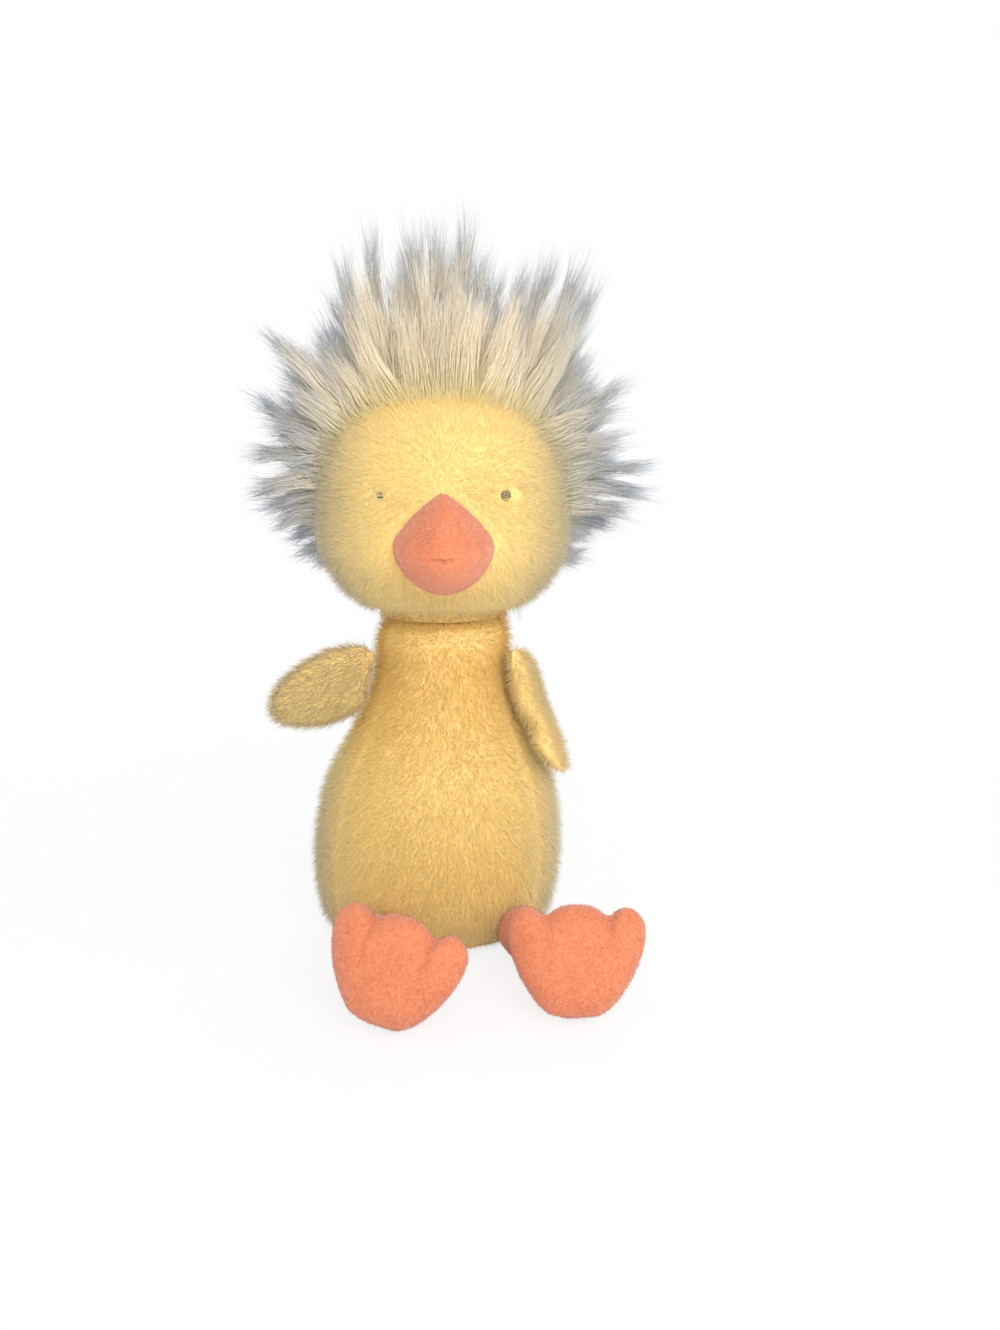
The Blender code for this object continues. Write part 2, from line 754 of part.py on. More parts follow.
# The wing's hinge runs down the side seam. Local x is down it and local y is outwards.
def wing_frame(side, forward):
    stand_off = WING_ROOT_RADIUS + SEAM_GAP
    ends = []
    for height in (WING_TOP_HEIGHT, WING_TOP_HEIGHT - WING_ROOT_LENGTH):
        station = body_station_at(height)
        station = station + Vector((stand_off, stand_off, 0))
        ends.append(body_point(station, side * SIDE_SEAM_ANGLE))
    start, end = ends
    down = (end - start).normalized()
    outward = Vector((side, 0, 0))
    outward = (outward - down * outward.dot(down)).normalized()
    outward = Matrix.Rotation(math.radians(side * forward), 3, down) @ outward
    across = down.cross(outward)
    turn = Matrix((down, outward, across)).transposed().to_4x4()
    return Matrix.Translation(start) @ turn


def make_wing(name, side, forward, droop, curl, pile, filling):
    frame = wing_frame(side, forward)
    outline = wing_outline(droop)
    middle = sum(outline, Vector((0, 0))) / len(outline)

    def bend_out(point):
        share = max(point.x - WING_ROOT_LENGTH / 2, 0.0) / WING_DROP
        return side * curl * share**2

    size = (outline, middle, WING_HALF_THICKNESS, WING_COVER, bend_out)
    pillow_panel(name + "_outer_panel", *size, side, frame, pile)
    pillow_panel(name + "_inner_panel", *size, -side, frame, pile)
    pillow_stuffing(name + "_stuffing", *size, frame, filling)


# The foot's outline from the heel round the toes, seen on the sole with the ankle at the origin.
def foot_outline():
    notch = 1 - FOOT_NOTCH_DEPTH / FOOT_HEIGHT
    half = FOOT_SIDE[:-2] + ((FOOT_SIDE[-2][0], notch), FOOT_SIDE[-1])
    knots = [(0.0, 0.0)]
    knots += half
    knots.append((0.0, 1.0))
    knots += [(-across, up) for across, up in half[::-1]]
    knots = [(across * FOOT_HALF_WIDTH, up * FOOT_HEIGHT - ANKLE_ABOVE_HEEL) for across, up in knots]
    return smooth_path(knots, FOOT_STEPS, closed=True)


def hip_point(side):
    station = body_station_at(HIP_HEIGHT)
    surface = body_point(station, LEFT_HIP_ANGLE if side > 0 else -RIGHT_HIP_ANGLE)
    outward = Vector((surface.x / station.x**2, surface.y / station.y**2, 0)).normalized()
    return surface + outward * (LEG_RADIUS - HIP_SINK)


# Local x is across the foot, y up it and z out of the sole, all about the ankle.
def foot_turn(heading, lean_back, roll):
    bearing = math.radians(heading)
    out = Vector((math.sin(bearing), -math.cos(bearing), 0))
    up = Vector((0, 0, 1))
    turn = Matrix((up.cross(out), up, out)).transposed().to_4x4()
    turn = turn @ Matrix.Rotation(math.radians(-lean_back), 4, "X")
    return turn @ Matrix.Rotation(math.radians(-roll), 4, "Z")


def foot_middle():
    return Vector((0, FOOT_HEIGHT / 2 - ANKLE_ABOVE_HEEL))


def foot_lift():
    return Vector((0, 0, ANKLE_RADIUS - ANKLE_SINK + FOOT_HALF_THICKNESS))


# The ankle's height puts the lowest point of the foot just over the table.
def ankle_point(side, heading, turn):
    lowest = 0.0
    for face in (1, -1):
        rows = pillow_rows(foot_outline(), foot_middle(), FOOT_HALF_THICKNESS, face, 0.0)
        points = [turn @ (point + foot_lift()) for row in rows for point in row]
        lowest = min(lowest, min(point.z for point in points))
    bearing = math.radians(heading)
    ankle = hip_point(side) + Vector((math.sin(bearing), -math.cos(bearing), 0)) * LEG_LENGTH
    ankle.z = FLOOR_GAP - lowest
    return ankle


def leg_profile(length, shrink, opening):
    hip = LEG_RADIUS - shrink
    ankle = ANKLE_RADIUS - shrink
    middle = (LEG_RADIUS + ANKLE_RADIUS) / 2 + LEG_SWELL - shrink
    profile = []
    for k in range(3):
        angle = math.radians(opening + (90 - opening) * k / 2)
        width = 0.0 if angle == 0 else hip * math.sin(angle)
        profile.append((-hip * math.cos(angle), width))
    profile.append((length / 2, middle))
    for k in range(3):
        angle = math.radians(90 - (90 - opening) * k / 2)
        width = 0.0 if angle == 0 else ankle * math.sin(angle)
        profile.append((length + ankle * math.cos(angle), width))
    return profile


def make_leg(name, side, heading, turn, front, materials):
    hip = hip_point(side)
    ankle = ankle_point(side, heading, turn)
    axis = ankle - hip
    frame = Matrix.Translation(hip) @ axis.to_track_quat("Z", "Y").to_matrix().to_4x4()
    place = (hip, axis.normalized(), LEG_COLUMNS)
    outer = turned_rings(leg_profile(axis.length, 0.0, LEG_OPENING_ANGLE), *place)
    inner = turned_rings(leg_profile(axis.length, LEG_COVER, LEG_OPENING_ANGLE), *place)
    core = turned_rings(leg_profile(axis.length, LEG_COVER + 2 * SEAM_GAP, 0), *place)
    new_piece(f"leg_{name}_sleeve", panel_mesh(outer, inner, wrap=True), materials["coral"], frame)
    new_piece(f"leg_{name}_stuffing", loft_mesh(core), materials["filling"], frame)
    hip_mesh = ball_mesh(hip, LEG_RADIUS + SEAT_GAP, SEAT_COLUMNS)
    cut(front, new_cutter(f"hip_seat_{name}", hip_mesh, materials["cutter"]))
    return ankle


def make_foot(name, ankle, turn, materials):
    frame = Matrix.Translation(ankle) @ turn @ Matrix.Translation(foot_lift())
    size = (foot_outline(), foot_middle(), FOOT_HALF_THICKNESS, FOOT_COVER, None)
    pillow_panel(f"foot_{name}_sole_panel", *size, 1, frame, materials["coral"])
    top = pillow_panel(f"foot_{name}_top_panel", *size, -1, frame, materials["coral"])
    core = pillow_stuffing(f"foot_{name}_stuffing", *size, frame, materials["filling"])
    seat_mesh = ball_mesh(ankle, ANKLE_RADIUS + SEAT_GAP, SEAT_COLUMNS)
    seat = new_cutter(f"ankle_seat_{name}", seat_mesh, materials["cutter"])
    cut(top, seat)
    cut(core, seat)


def make_duck():
    clear_scene()
    materials = {
        "pile": new_material("yellow_pile", (0.86, 0.58, 0.18), 0.95),
        "fur": new_material("ivory_long_pile", (0.80, 0.74, 0.58), 0.85),
        "coral": new_material("coral_velour", (0.87, 0.30, 0.14), 0.9),
        "filling": new_material("polyester_filling", (0.85, 0.85, 0.82), 1.0),
        "beans": new_material("bean_pouch_cloth", (0.62, 0.60, 0.55), 0.9),
        "eye": new_material("black_bead", (0.01, 0.008, 0.007), 0.2),
        "washer": new_material("washer_plastic", (0.80, 0.80, 0.78), 0.5),
        "cutter": new_material("cutter", (0.5, 0.5, 0.5), 0.5),
    }
    front = make_body(materials["pile"], materials["filling"], materials["beans"], materials["cutter"])
    make_neck(materials["filling"])
    face, stuffing = make_head_core(materials["pile"], materials["filling"], materials["cutter"])
    make_crown("crown_fur_left", 1, LEFT_CROWN_SHARE, materials["fur"], 7)
    make_crown("crown_fur_right", -1, RIGHT_CROWN_SHARE, materials["fur"], 12)
    make_beak(materials["coral"], materials["filling"])
    make_eye("left", 1, face, stuffing, materials)
    make_eye("right", -1, face, stuffing, materials)
    fabrics = (materials["pile"], materials["filling"])
    make_wing("wing_left", 1, LEFT_WING_FORWARD, LEFT_WING_DROOP, LEFT_WING_CURL, *fabrics)
    make_wing("wing_right", -1, RIGHT_WING_FORWARD, RIGHT_WING_DROOP, RIGHT_WING_CURL, *fabrics)
    turn = foot_turn(LEFT_FOOT_OUTWARD, LEFT_FOOT_LEAN, LEFT_FOOT_ROLL)
    ankle = make_leg("left", 1, LEFT_LEG_OUTWARD, turn, front, materials)
    make_foot("left", ankle, turn, materials)
    turn = foot_turn(-RIGHT_FOOT_OUTWARD, RIGHT_FOOT_LEAN, -RIGHT_FOOT_ROLL)
    ankle = make_leg("right", -1, -RIGHT_LEG_OUTWARD, turn, front, materials)
    make_foot("right", ankle, turn, materials)


make_duck()
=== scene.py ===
import math
import random

import bmesh
import bpy
from mathutils import Matrix, Vector, noise


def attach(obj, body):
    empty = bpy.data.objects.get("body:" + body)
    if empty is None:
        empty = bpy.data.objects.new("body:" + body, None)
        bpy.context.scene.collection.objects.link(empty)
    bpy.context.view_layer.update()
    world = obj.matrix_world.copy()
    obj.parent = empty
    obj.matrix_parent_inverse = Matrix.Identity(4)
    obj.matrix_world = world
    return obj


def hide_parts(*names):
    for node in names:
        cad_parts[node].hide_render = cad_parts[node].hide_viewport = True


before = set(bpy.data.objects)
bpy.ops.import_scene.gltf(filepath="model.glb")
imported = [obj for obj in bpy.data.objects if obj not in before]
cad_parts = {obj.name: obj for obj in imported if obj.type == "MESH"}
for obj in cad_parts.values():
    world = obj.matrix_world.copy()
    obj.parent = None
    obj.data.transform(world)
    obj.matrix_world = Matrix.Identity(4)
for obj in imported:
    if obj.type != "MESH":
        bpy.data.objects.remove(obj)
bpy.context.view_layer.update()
scene = bpy.context.scene
print("frame loaded:", len(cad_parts), "nodes")


# Node trees: one wrapper for sockets, one method for nodes
class Wire:
    def __init__(self, net, socket):
        self.net = net
        self.socket = socket

    def of(self, name):  # another output of the same node
        return Wire(self.net, pick(self.socket.node.outputs, name))

    def calc(self, operation, other=None, flipped=False):
        pair = [self, other] if not flipped else [other, self]
        inputs = {i: value for i, value in enumerate(pair) if value is not None}
        return self.net.add("ShaderNodeMath", {"operation": operation}, inputs)

    def __add__(self, other):
        return self.calc("ADD", other)

    def __radd__(self, other):
        return self.calc("ADD", other)

    def __sub__(self, other):
        return self.calc("SUBTRACT", other)

    def __rsub__(self, other):
        return self.calc("SUBTRACT", other, True)

    def __mul__(self, other):
        return self.calc("MULTIPLY", other)

    def __rmul__(self, other):
        return self.calc("MULTIPLY", other)

    def __truediv__(self, other):
        return self.calc("DIVIDE", other)

    def __rtruediv__(self, other):
        return self.calc("DIVIDE", other, True)

    def __pow__(self, other):
        return self.calc("POWER", other)

    def clamped(self):
        return self.net.add("ShaderNodeClamp", {}, {"Value": self})


def pick(sockets, name):
    if isinstance(name, int):
        return sockets[name]
    return next(socket for socket in sockets if socket.name == name and socket.enabled)


class Net:
    def __init__(self, tree):
        self.tree = tree

    def add(self, kind, settings=None, inputs=None):
        node = self.tree.nodes.new(kind)
        for name, value in (settings or {}).items():
            if name == "stops":
                ramp = node.color_ramp
                while len(ramp.elements) < len(value):
                    ramp.elements.new(0.5)
                for element, (place, color) in zip(ramp.elements, value):
                    element.position = place
                    element.color = (*color, 1.0)
            else:
                setattr(node, name, value)
        for name, value in (inputs or {}).items():
            socket = pick(node.inputs, name)
            if isinstance(value, Wire):
                self.tree.links.new(value.socket, socket)
            else:
                socket.default_value = value
        outputs = [socket for socket in node.outputs if socket.enabled]
        return Wire(self, outputs[0]) if outputs else node

    def vector(self, operation, a, b=None, scale=None):
        inputs = {0: a}
        if b is not None:
            inputs[1] = b
        if scale is not None:
            inputs["Scale"] = scale
        return self.add("ShaderNodeVectorMath", {"operation": operation}, inputs)

    def pushed(self, start, way, scale, operation="ADD"):  # start plus or minus way times scale
        return self.vector(operation, start, self.vector("SCALE", way, scale=scale))

    def mixColor(self, factor, a, b):
        return self.add("ShaderNodeMix", {"data_type": "RGBA"}, {0: factor, "A": a, "B": b})

    def named(self, name, kind="FLOAT"):
        return self.add("GeometryNodeInputNamedAttribute", {"data_type": kind}, {"Name": name})

    def store(self, geometry, name, value, kind="FLOAT", domain="POINT"):
        settings = {"data_type": kind, "domain": domain}
        inputs = {"Geometry": geometry, "Name": name, "Value": value}
        return self.add("GeometryNodeStoreNamedAttribute", settings, inputs)

    def randomValue(self, low, high, seed, ident, kind="FLOAT"):
        inputs = {"Min": low, "Max": high, "Seed": seed, "ID": ident}
        return self.add("FunctionNodeRandomValue", {"data_type": kind}, inputs)

    def randomVector(self, size, seed, ident):
        return self.randomValue((-size,) * 3, (size,) * 3, seed, ident, "FLOAT_VECTOR")


# Materials
weave = {
    "patchDetail": 3.0, "patchRoughness": 0.6, "napDetail": 4.0, "napRoughness": 0.7,
    "napShare": 0.6, "roughSpread": 0.1, "specular": 0.3,
}


def newMaterial(name):
    material = bpy.data.materials.new(name)
    material.use_nodes = True
    material.node_tree.nodes.clear()
    return material, Net(material.node_tree)


def finishMaterial(net, color, normal, roughness, **constants):
    inputs = {"Base Color": color, "Roughness": roughness}
    if normal is not None:
        inputs["Normal"] = normal
    shader = net.add("ShaderNodeBsdfPrincipled", {}, inputs)
    for name, value in constants.items():
        shader.socket.node.inputs[name.replace("_", " ")].default_value = value
    net.add("ShaderNodeOutputMaterial", {}, {"Surface": shader})


# Fibres read one map: across it the shade of the strand, up it the way from root to tip.
def fibreMaterial(name, look):
    material, net = newMaterial(name)
    place = net.add("ShaderNodeUVMap", {"uv_map": "OFBake"})
    parts = net.add("ShaderNodeSeparateXYZ", {}, {0: place})
    shade, along = parts.of("X"), parts.of("Y")
    warm = net.add("ShaderNodeValToRGB", {"stops": look["warm"]}, {"Fac": along})
    cool = net.add("ShaderNodeValToRGB", {"stops": look["cool"]}, {"Fac": along})
    color = net.mixColor(shade, warm, cool)
    finishMaterial(net, color, None, look["roughness"], Sheen_Weight=look["sheen"],
                   Specular_IOR_Level=weave["specular"])
    return material


# Woven or velour cloth: mottled colour, with a nap that bumps the surface.
def clothMaterial(name, look):
    material, net = newMaterial(name)
    place = net.add("ShaderNodeTexCoord").of("Object")
    patches, nap = [
        net.add("ShaderNodeTexNoise", {}, {
            "Vector": place, "Scale": 1 / look[part + "Size"],
            "Detail": weave[part + "Detail"], "Roughness": weave[part + "Roughness"]})
        for part in ("patch", "nap")]
    loops = net.add("ShaderNodeTexVoronoi", {"feature": "F1"}, {
        "Vector": place, "Scale": 1 / look["loopSize"], "Randomness": 1.0})
    mottle = ((patches - 0.5) * look["patchiness"] + (nap - 0.5) * look["grain"] + 0.5).clamped()
    color = net.add("ShaderNodeValToRGB", {"stops": look["stops"]}, {"Fac": mottle})
    height = nap * weave["napShare"] + (1 - loops) * (1 - weave["napShare"])
    bump = net.add("ShaderNodeBump", {}, {
        "Height": height, "Strength": look["bump"], "Distance": look["loopSize"]})
    rough = nap * weave["roughSpread"] + look["roughness"]
    finishMaterial(net, color, bump, rough, Sheen_Weight=look["sheen"],
                   Specular_IOR_Level=weave["specular"])
    return material


backing = {
    "patchSize": 0.008, "napSize": 0.0012, "loopSize": 0.0008, "patchiness": 0.5, "grain": 0.9,
    "bump": 0.6, "roughness": 0.85, "sheen": 0.2,
}
finishes = {  # linear colours: from root to tip of a fibre, or from the dark to the pale of a cloth; a fibre's cool, greyer ramp also serves as painted shade
    "yellowPile": {
        "warm": [(0.0, (0.80, 0.49, 0.11)), (0.3, (0.88, 0.60, 0.17)), (0.6, (0.96, 0.78, 0.30)),
                 (1.0, (0.99, 0.87, 0.43))],
        "cool": [(0.0, (0.60, 0.48, 0.25)), (0.45, (0.68, 0.62, 0.43)), (1.0, (0.73, 0.71, 0.60))],
        "roughness": 0.85, "sheen": 0.2,
    },
    # A darker, greyer copy of the yellow pile for the wings: painted shade
    "greyedYellowPile": {
        "warm": [(0.0, (0.90, 0.62, 0.20)), (0.45, (0.94, 0.71, 0.30)), (1.0, (0.96, 0.78, 0.40))],
        "cool": [(0.0, (0.50, 0.39, 0.17)), (0.45, (0.54, 0.44, 0.23)), (1.0, (0.57, 0.48, 0.29))],
        "roughness": 0.85, "sheen": 0.2,
    },
    "paleYellowPile": {
        "warm": [(0.0, (0.95, 0.70, 0.24)), (0.45, (0.98, 0.80, 0.34)), (1.0, (1.0, 0.87, 0.45))],
        "cool": [(0.0, (0.60, 0.49, 0.25)), (0.45, (0.65, 0.56, 0.36)), (1.0, (0.70, 0.63, 0.48))],
        "roughness": 0.85, "sheen": 0.2,
    },
    # Ivory hair whose cool ramp and tips run to blue grey: partly its own colour, partly painted shade
    "ivoryLongPile": {
        "warm": [(0.0, (1.0, 0.84, 0.46)), (0.3, (1.0, 0.87, 0.60)), (0.65, (1.0, 0.86, 0.64)),
                 (0.86, (0.64, 0.65, 0.64)), (1.0, (0.38, 0.44, 0.50))],
        "cool": [(0.0, (0.98, 0.86, 0.60)), (0.25, (0.82, 0.79, 0.71)), (0.5, (0.53, 0.58, 0.66)),
                 (0.8, (0.30, 0.38, 0.49)), (1.0, (0.24, 0.32, 0.44))],
        "roughness": 0.6, "sheen": 0.5,
    },
    "coralFuzz": {
        "warm": [(0.0, (0.64, 0.19, 0.09)), (1.0, (0.77, 0.31, 0.17))],
        "cool": [(0.0, (0.54, 0.13, 0.06)), (1.0, (0.65, 0.22, 0.115))],
        "roughness": 0.9, "sheen": 0.3,
    },
    # A paler copy of the coral fuzz for the beak: its pale warm ramp is a painted highlight on the lower
    # half
    "beakFuzz": {
        "warm": [(0.0, (0.80, 0.27, 0.14)), (1.0, (0.94, 0.46, 0.28))],
        "cool": [(0.0, (0.56, 0.13, 0.06)), (1.0, (0.68, 0.22, 0.115))],
        "roughness": 0.9, "sheen": 0.3,
    },
    "coralVelour": {
        "patchSize": 0.006, "napSize": 0.0011, "loopSize": 0.0007, "patchiness": 0.5, "grain": 1.2,
        "bump": 0.5, "roughness": 0.82, "sheen": 0.35,
        "stops": [(0.0, (0.55, 0.13, 0.055)), (0.5, (0.70, 0.22, 0.10)), (1.0, (0.79, 0.32, 0.17))],
    },
    "pileBacking": {
        **backing,
        "stops": [(0.0, (0.84, 0.56, 0.16)), (0.5, (0.92, 0.67, 0.25)), (1.0, (0.97, 0.76, 0.34))],
    },
    "crownBacking": {
        **backing,
        "stops": [(0.0, (0.80, 0.66, 0.38)), (0.5, (0.88, 0.76, 0.50)), (1.0, (0.93, 0.84, 0.62))],
    },
    "washerPlastic": {
        "patchSize": 0.004, "napSize": 0.001, "loopSize": 0.0006, "patchiness": 0.2, "grain": 0.2,
        "bump": 0.1, "roughness": 0.45, "sheen": 0.0,
        "stops": [(0.0, (0.74, 0.74, 0.72)), (0.5, (0.80, 0.80, 0.78)), (1.0, (0.84, 0.84, 0.82))],
    },
}
materials = {}
for name, look in finishes.items():
    materials[name] = fibreMaterial(name, look) if "warm" in look else clothMaterial(name, look)
print("materials ready:", len(materials))


# Mesh helpers
weldGap = 1e-6
poleSize = 1e-9


def within01(value):
    return min(max(value, 0.0), 1.0)


def ease(value, low, high):
    share = within01((value - low) / (high - low))
    return share * share * (3 - 2 * share)


def onCircle(angle, radius, height):
    return Vector((radius * math.cos(angle), radius * math.sin(angle), height))


def smoothPath(knots, steps, closed=False):
    knots = [Vector(knot) for knot in knots]
    count = len(knots)
    path = []
    for i in range(count if closed else count - 1):
        start = knots[i]
        end = knots[(i + 1) % count]
        before = knots[i - 1] if closed or i > 0 else start
        after = knots[(i + 2) % count] if closed or i + 2 < count else end
        span = (end - start).length
        startSlope = (end - before) / (span + (start - before).length)
        endSlope = (after - start) / (span + (after - end).length)
        for k in range(steps):
            u = k / steps
            point = start * (2 * u**3 - 3 * u**2 + 1) + end * (3 * u**2 - 2 * u**3)
            point += startSlope * span * (u**3 - 2 * u**2 + u)
            point += endSlope * span * (u**3 - u**2)
            path.append(point)
    if not closed:
        path.append(knots[-1])
    return path


def newObject(name, bm, material):
    mesh = bpy.data.meshes.new(name)
    bmesh.ops.remove_doubles(bm, verts=bm.verts, dist=weldGap)
    bmesh.ops.recalc_face_normals(bm, faces=bm.faces)
    if bm.calc_volume(signed=True) < 0:
        bmesh.ops.reverse_faces(bm, faces=bm.faces)
    bm.to_mesh(mesh)
    bm.free()
    mesh.shade_smooth()
    mesh.materials.append(material)
    obj = bpy.data.objects.new(name, mesh)
    scene.collection.objects.link(obj)
    return obj


# A closed skin through rings. A ring whose points meet is a pole.
def skinRings(rings):
    bm = bmesh.new()
    grid = []
    for ring in rings:
        if all((point - ring[0]).length < poleSize for point in ring):
            grid.append([bm.verts.new(ring[0])] * len(ring))
        else:
            grid.append([bm.verts.new(point) for point in ring])
    for low, high in zip(grid, grid[1:]):
        for j in range(len(low)):
            k = (j + 1) % len(low)
            corners = []
            for vert in (low[j], low[k], high[k], high[j]):
                if vert not in corners:
                    corners.append(vert)
            if len(corners) > 2:
                bm.faces.new(corners)
    return bm


def turnedRings(profile, origin, axis, columns):
    turn = axis.to_track_quat("Z", "Y")
    rings = []
    for along, radius in profile:
        rings.append([
            origin + turn @ onCircle(math.tau * j / columns, radius, along) for j in range(columns)])
    return rings


# Stuffing: the cover is enlarged, blown up as cloth and scaled back; cap is how far its cloth may move
stuffing = {"scale": 10.0, "frames": 20, "pressure": 4.0}


def applyModifiers(obj):
    evaluated = obj.evaluated_get(bpy.context.evaluated_depsgraph_get())
    mesh = bpy.data.meshes.new_from_object(evaluated)
    obj.modifiers.clear()
    old = obj.data
    obj.data = mesh
    bpy.data.meshes.remove(old)


def stuff(obj, voxel, cap, keep=None):
    scale = stuffing["scale"]
    obj.data.transform(Matrix.Scale(scale, 4))
    remesh = obj.modifiers.new("remesh", "REMESH")
    remesh.mode = "VOXEL"
    remesh.voxel_size = voxel * scale
    remesh.use_smooth_shade = True
    applyModifiers(obj)
    start = [vert.co.copy() for vert in obj.data.vertices]
    cloth = obj.modifiers.new("cloth", "CLOTH")
    cloth.settings.use_pressure = True
    cloth.settings.uniform_pressure_force = stuffing["pressure"]
    cloth.settings.effector_weights.gravity = 0.0
    cloth.point_cache.frame_end = stuffing["frames"]
    for step in range(1, stuffing["frames"] + 1):
        scene.frame_set(step)
    applyModifiers(obj)
    most = 0.0
    for vert, base in zip(obj.data.vertices, start):
        move = vert.co - base
        limit = cap * scale * (keep(base / scale) if keep else 1.0)
        most = max(most, move.length / scale)
        if move.length > limit:
            move = move.normalized() * limit
        vert.co = base + move
    scene.frame_set(1)
    print(f"  stuffed {obj.name}: cloth moved up to {most * 1000:.1f} mm")
    obj.data.transform(Matrix.Scale(1 / scale, 4))
    smooth = obj.modifiers.new("smooth", "SUBSURF")
    smooth.levels = 1
    smooth.render_levels = 1
    applyModifiers(obj)
    obj.data.shade_smooth()
    return obj


# The body's shape
neckSeam = 0.1310  # height of the seam between body and neck
body = {
    "stations": (  # half width, half depth, height
        (0.0370, 0.0340, 0.0), (0.0500, 0.0455, 0.0070), (0.0555, 0.0500, 0.0340),
        (0.0515, 0.0460, 0.0680), (0.0390, 0.0360, 0.0940), (0.0315, 0.0315, 0.1160),
        (0.0305, 0.0305, neckSeam), (0.0290, 0.0290, 0.1370),
    ),
    "lean": 0.0045 / neckSeam, "seamAngle": 58.0, "seamHalf": 0.0016,
    "inset": 0.0042, "baseInset": 0.0014, "insetRise": 0.014, "collar": 0.0028,
    "baseShares": (0.0, 0.35, 0.7), "topShares": (1.0, 0.8, 0.5, 0.0), "columns": 60, "steps": 5,
    "voxel": 0.0035, "cap": 0.0012, "heldBase": 0.012, "heldTop": 0.128, "heldFade": 0.01,
    "backDensity": 0.62,
}


def bodyPoint(station, degrees):
    angle = math.radians(degrees)
    across = station.x * math.sin(angle) + body["lean"] * station.z
    return Vector((across, -station.y * math.cos(angle), station.z))


def bodyStationAt(height):
    stations = smoothPath(body["stations"], body["steps"])
    for low, high in zip(stations, stations[1:]):
        if high.z >= height:
            return low.lerp(high, (height - low.z) / (high.z - low.z))
    return stations[-1]


def insetStation(stations, i):
    last = len(stations) - 1
    along = stations[min(i + 1, last)] - stations[max(i - 1, 0)]
    length = math.hypot(along.x, along.z)
    share = within01(stations[i].z / body["insetRise"])
    depth = body["baseInset"] + (body["inset"] - body["baseInset"]) * share
    inward = depth * along.z / length
    upward = depth * along.x / length
    return Vector((stations[i].x - inward, stations[i].y - inward, stations[i].z + upward))


def makeBodyCover():
    stations = smoothPath(body["stations"], body["steps"])
    inner = [insetStation(stations, i) for i in range(len(stations))]
    inner[0].z = body["baseInset"]
    top = inner[-1] + Vector((0, 0, body["collar"]))
    rows = [Vector((inner[0].x * share, inner[0].y * share, inner[0].z)) for share in body["baseShares"]]
    rows += inner
    rows += [Vector((top.x * share, top.y * share, top.z)) for share in body["topShares"]]
    turns = [360 * j / body["columns"] for j in range(body["columns"])]
    rings = [[bodyPoint(row, degrees) for degrees in turns] for row in rows]
    return newObject("bodyCover", skinRings(rings), materials["pileBacking"])


# The head's shape
head = {
    "half": (0.0535, 0.0510, 0.0540), "fullness": 2.4, "pivotRise": 0.0060, "lift": 0.0035,
    "neckRadius": 0.0288, "socketGap": 0.0012, "socketRim": 0.0060, "inset": 0.0050, "jawInset": 0.0014,
    "chinInset": 0.0034, "jawTo": 0.45, "crownTilt": 54.0, "crownReach": 88.0, "rows": 32, "columns": 60,
    "voxel": 0.0035, "cap": 0.0010, "heldFrom": 0.146, "heldTo": 0.160,
}
taken = (head["neckRadius"] / head["half"][0]) ** head["fullness"]
seat = (1 - taken) ** (1 / head["fullness"])
neckHeight = neckSeam + head["pivotRise"]
headPivot = Vector((body["lean"] * neckHeight, 0, neckHeight))
headCenter = headPivot + Vector((0, 0, head["half"][2] * seat + head["lift"]))
crownTilt = math.radians(head["crownTilt"])
crownAxis = Vector((0, math.sin(crownTilt), math.cos(crownTilt)))


def headPoint(direction, inset, jaw=0.0):
    side = inset + (head["jawInset"] - inset) * jaw
    insets = (side, side, inset + (head["chinInset"] - inset) * jaw)
    scaled = [part / (half - depth) for part, half, depth in zip(direction, head["half"], insets)]
    size = sum(abs(part) ** head["fullness"] for part in scaled) ** (1 / head["fullness"])
    return headCenter + direction / size


def headFront(across, above, grow=0.0):
    width, depth, height = (half + grow for half in head["half"])
    gone = abs(across / width) ** head["fullness"] + abs(above / height) ** head["fullness"]
    return -depth * (1 - gone) ** (1 / head["fullness"])


def makeHeadCover():
    rings = []
    socket = head["neckRadius"] + head["socketGap"]
    for i in range(head["rows"] + 1):
        polar = math.pi * i / head["rows"]
        width = 0.0 if i in (0, head["rows"]) else math.sin(polar)
        ring = []
        for j in range(head["columns"]):
            way = onCircle(math.tau * j / head["columns"], width, math.cos(polar))
            point = headPoint(way, head["inset"], ease(-way.z, 0.0, head["jawTo"]))
            spoke = point - headPivot
            if spoke.length < socket:
                point = headPivot + spoke.normalized() * socket
            ring.append(point)
        rings.append(ring)
    return newObject("headCover", skinRings(rings), materials["pileBacking"])


# A half ball of stuffed cloth on the body's top seam, which the head turns on
neck = {
    "radius": 0.0246, "gap": 0.0032, "rows": 8, "columns": 40, "furred": 0.0130, "footGap": 0.0002,
    "fade": 0.010, "thinning": 0.8, "shade": 0.1,
}


def makeNeckCover():
    profile = [(neck["gap"], 0.0)]
    for k in range(neck["rows"]):
        angle = math.radians(90 * k / neck["rows"])
        profile.append((neck["gap"] + neck["radius"] * math.sin(angle), neck["radius"] * math.cos(angle)))
    profile.append((neck["gap"] + neck["radius"], 0.0))
    rings = turnedRings(profile, headPivot, Vector((0, 0, 1)), neck["columns"])
    return newObject("neckCover", skinRings(rings), materials["pileBacking"])


# The beak
beak = {
    "halfWidth": 0.0205, "upper": 0.0205, "lower": 0.0205, "length": 0.0270,
    "below": 0.0133, "tipDrop": 0.0040, "fullness": 1.9, "bluntness": 0.72,
    "upperPoint": 1.65, "lowerPoint": 1.12, "columns": 64, "rows": 26,
    "inset": 0.0004, "seamDepth": 0.0001, "mouthDepth": 0.0020, "mouthHalf": 0.0006,
    "mouthReach": 0.0052, "voxel": 0.0014, "cap": 0.0003, "crowding": 1.7, "sink": 0.0015,
    "backShares": (0.0, 0.5), "backDepth": 0.001, "furFrom": -0.046, "shade": 0.75, "shadeFade": 0.006,
}


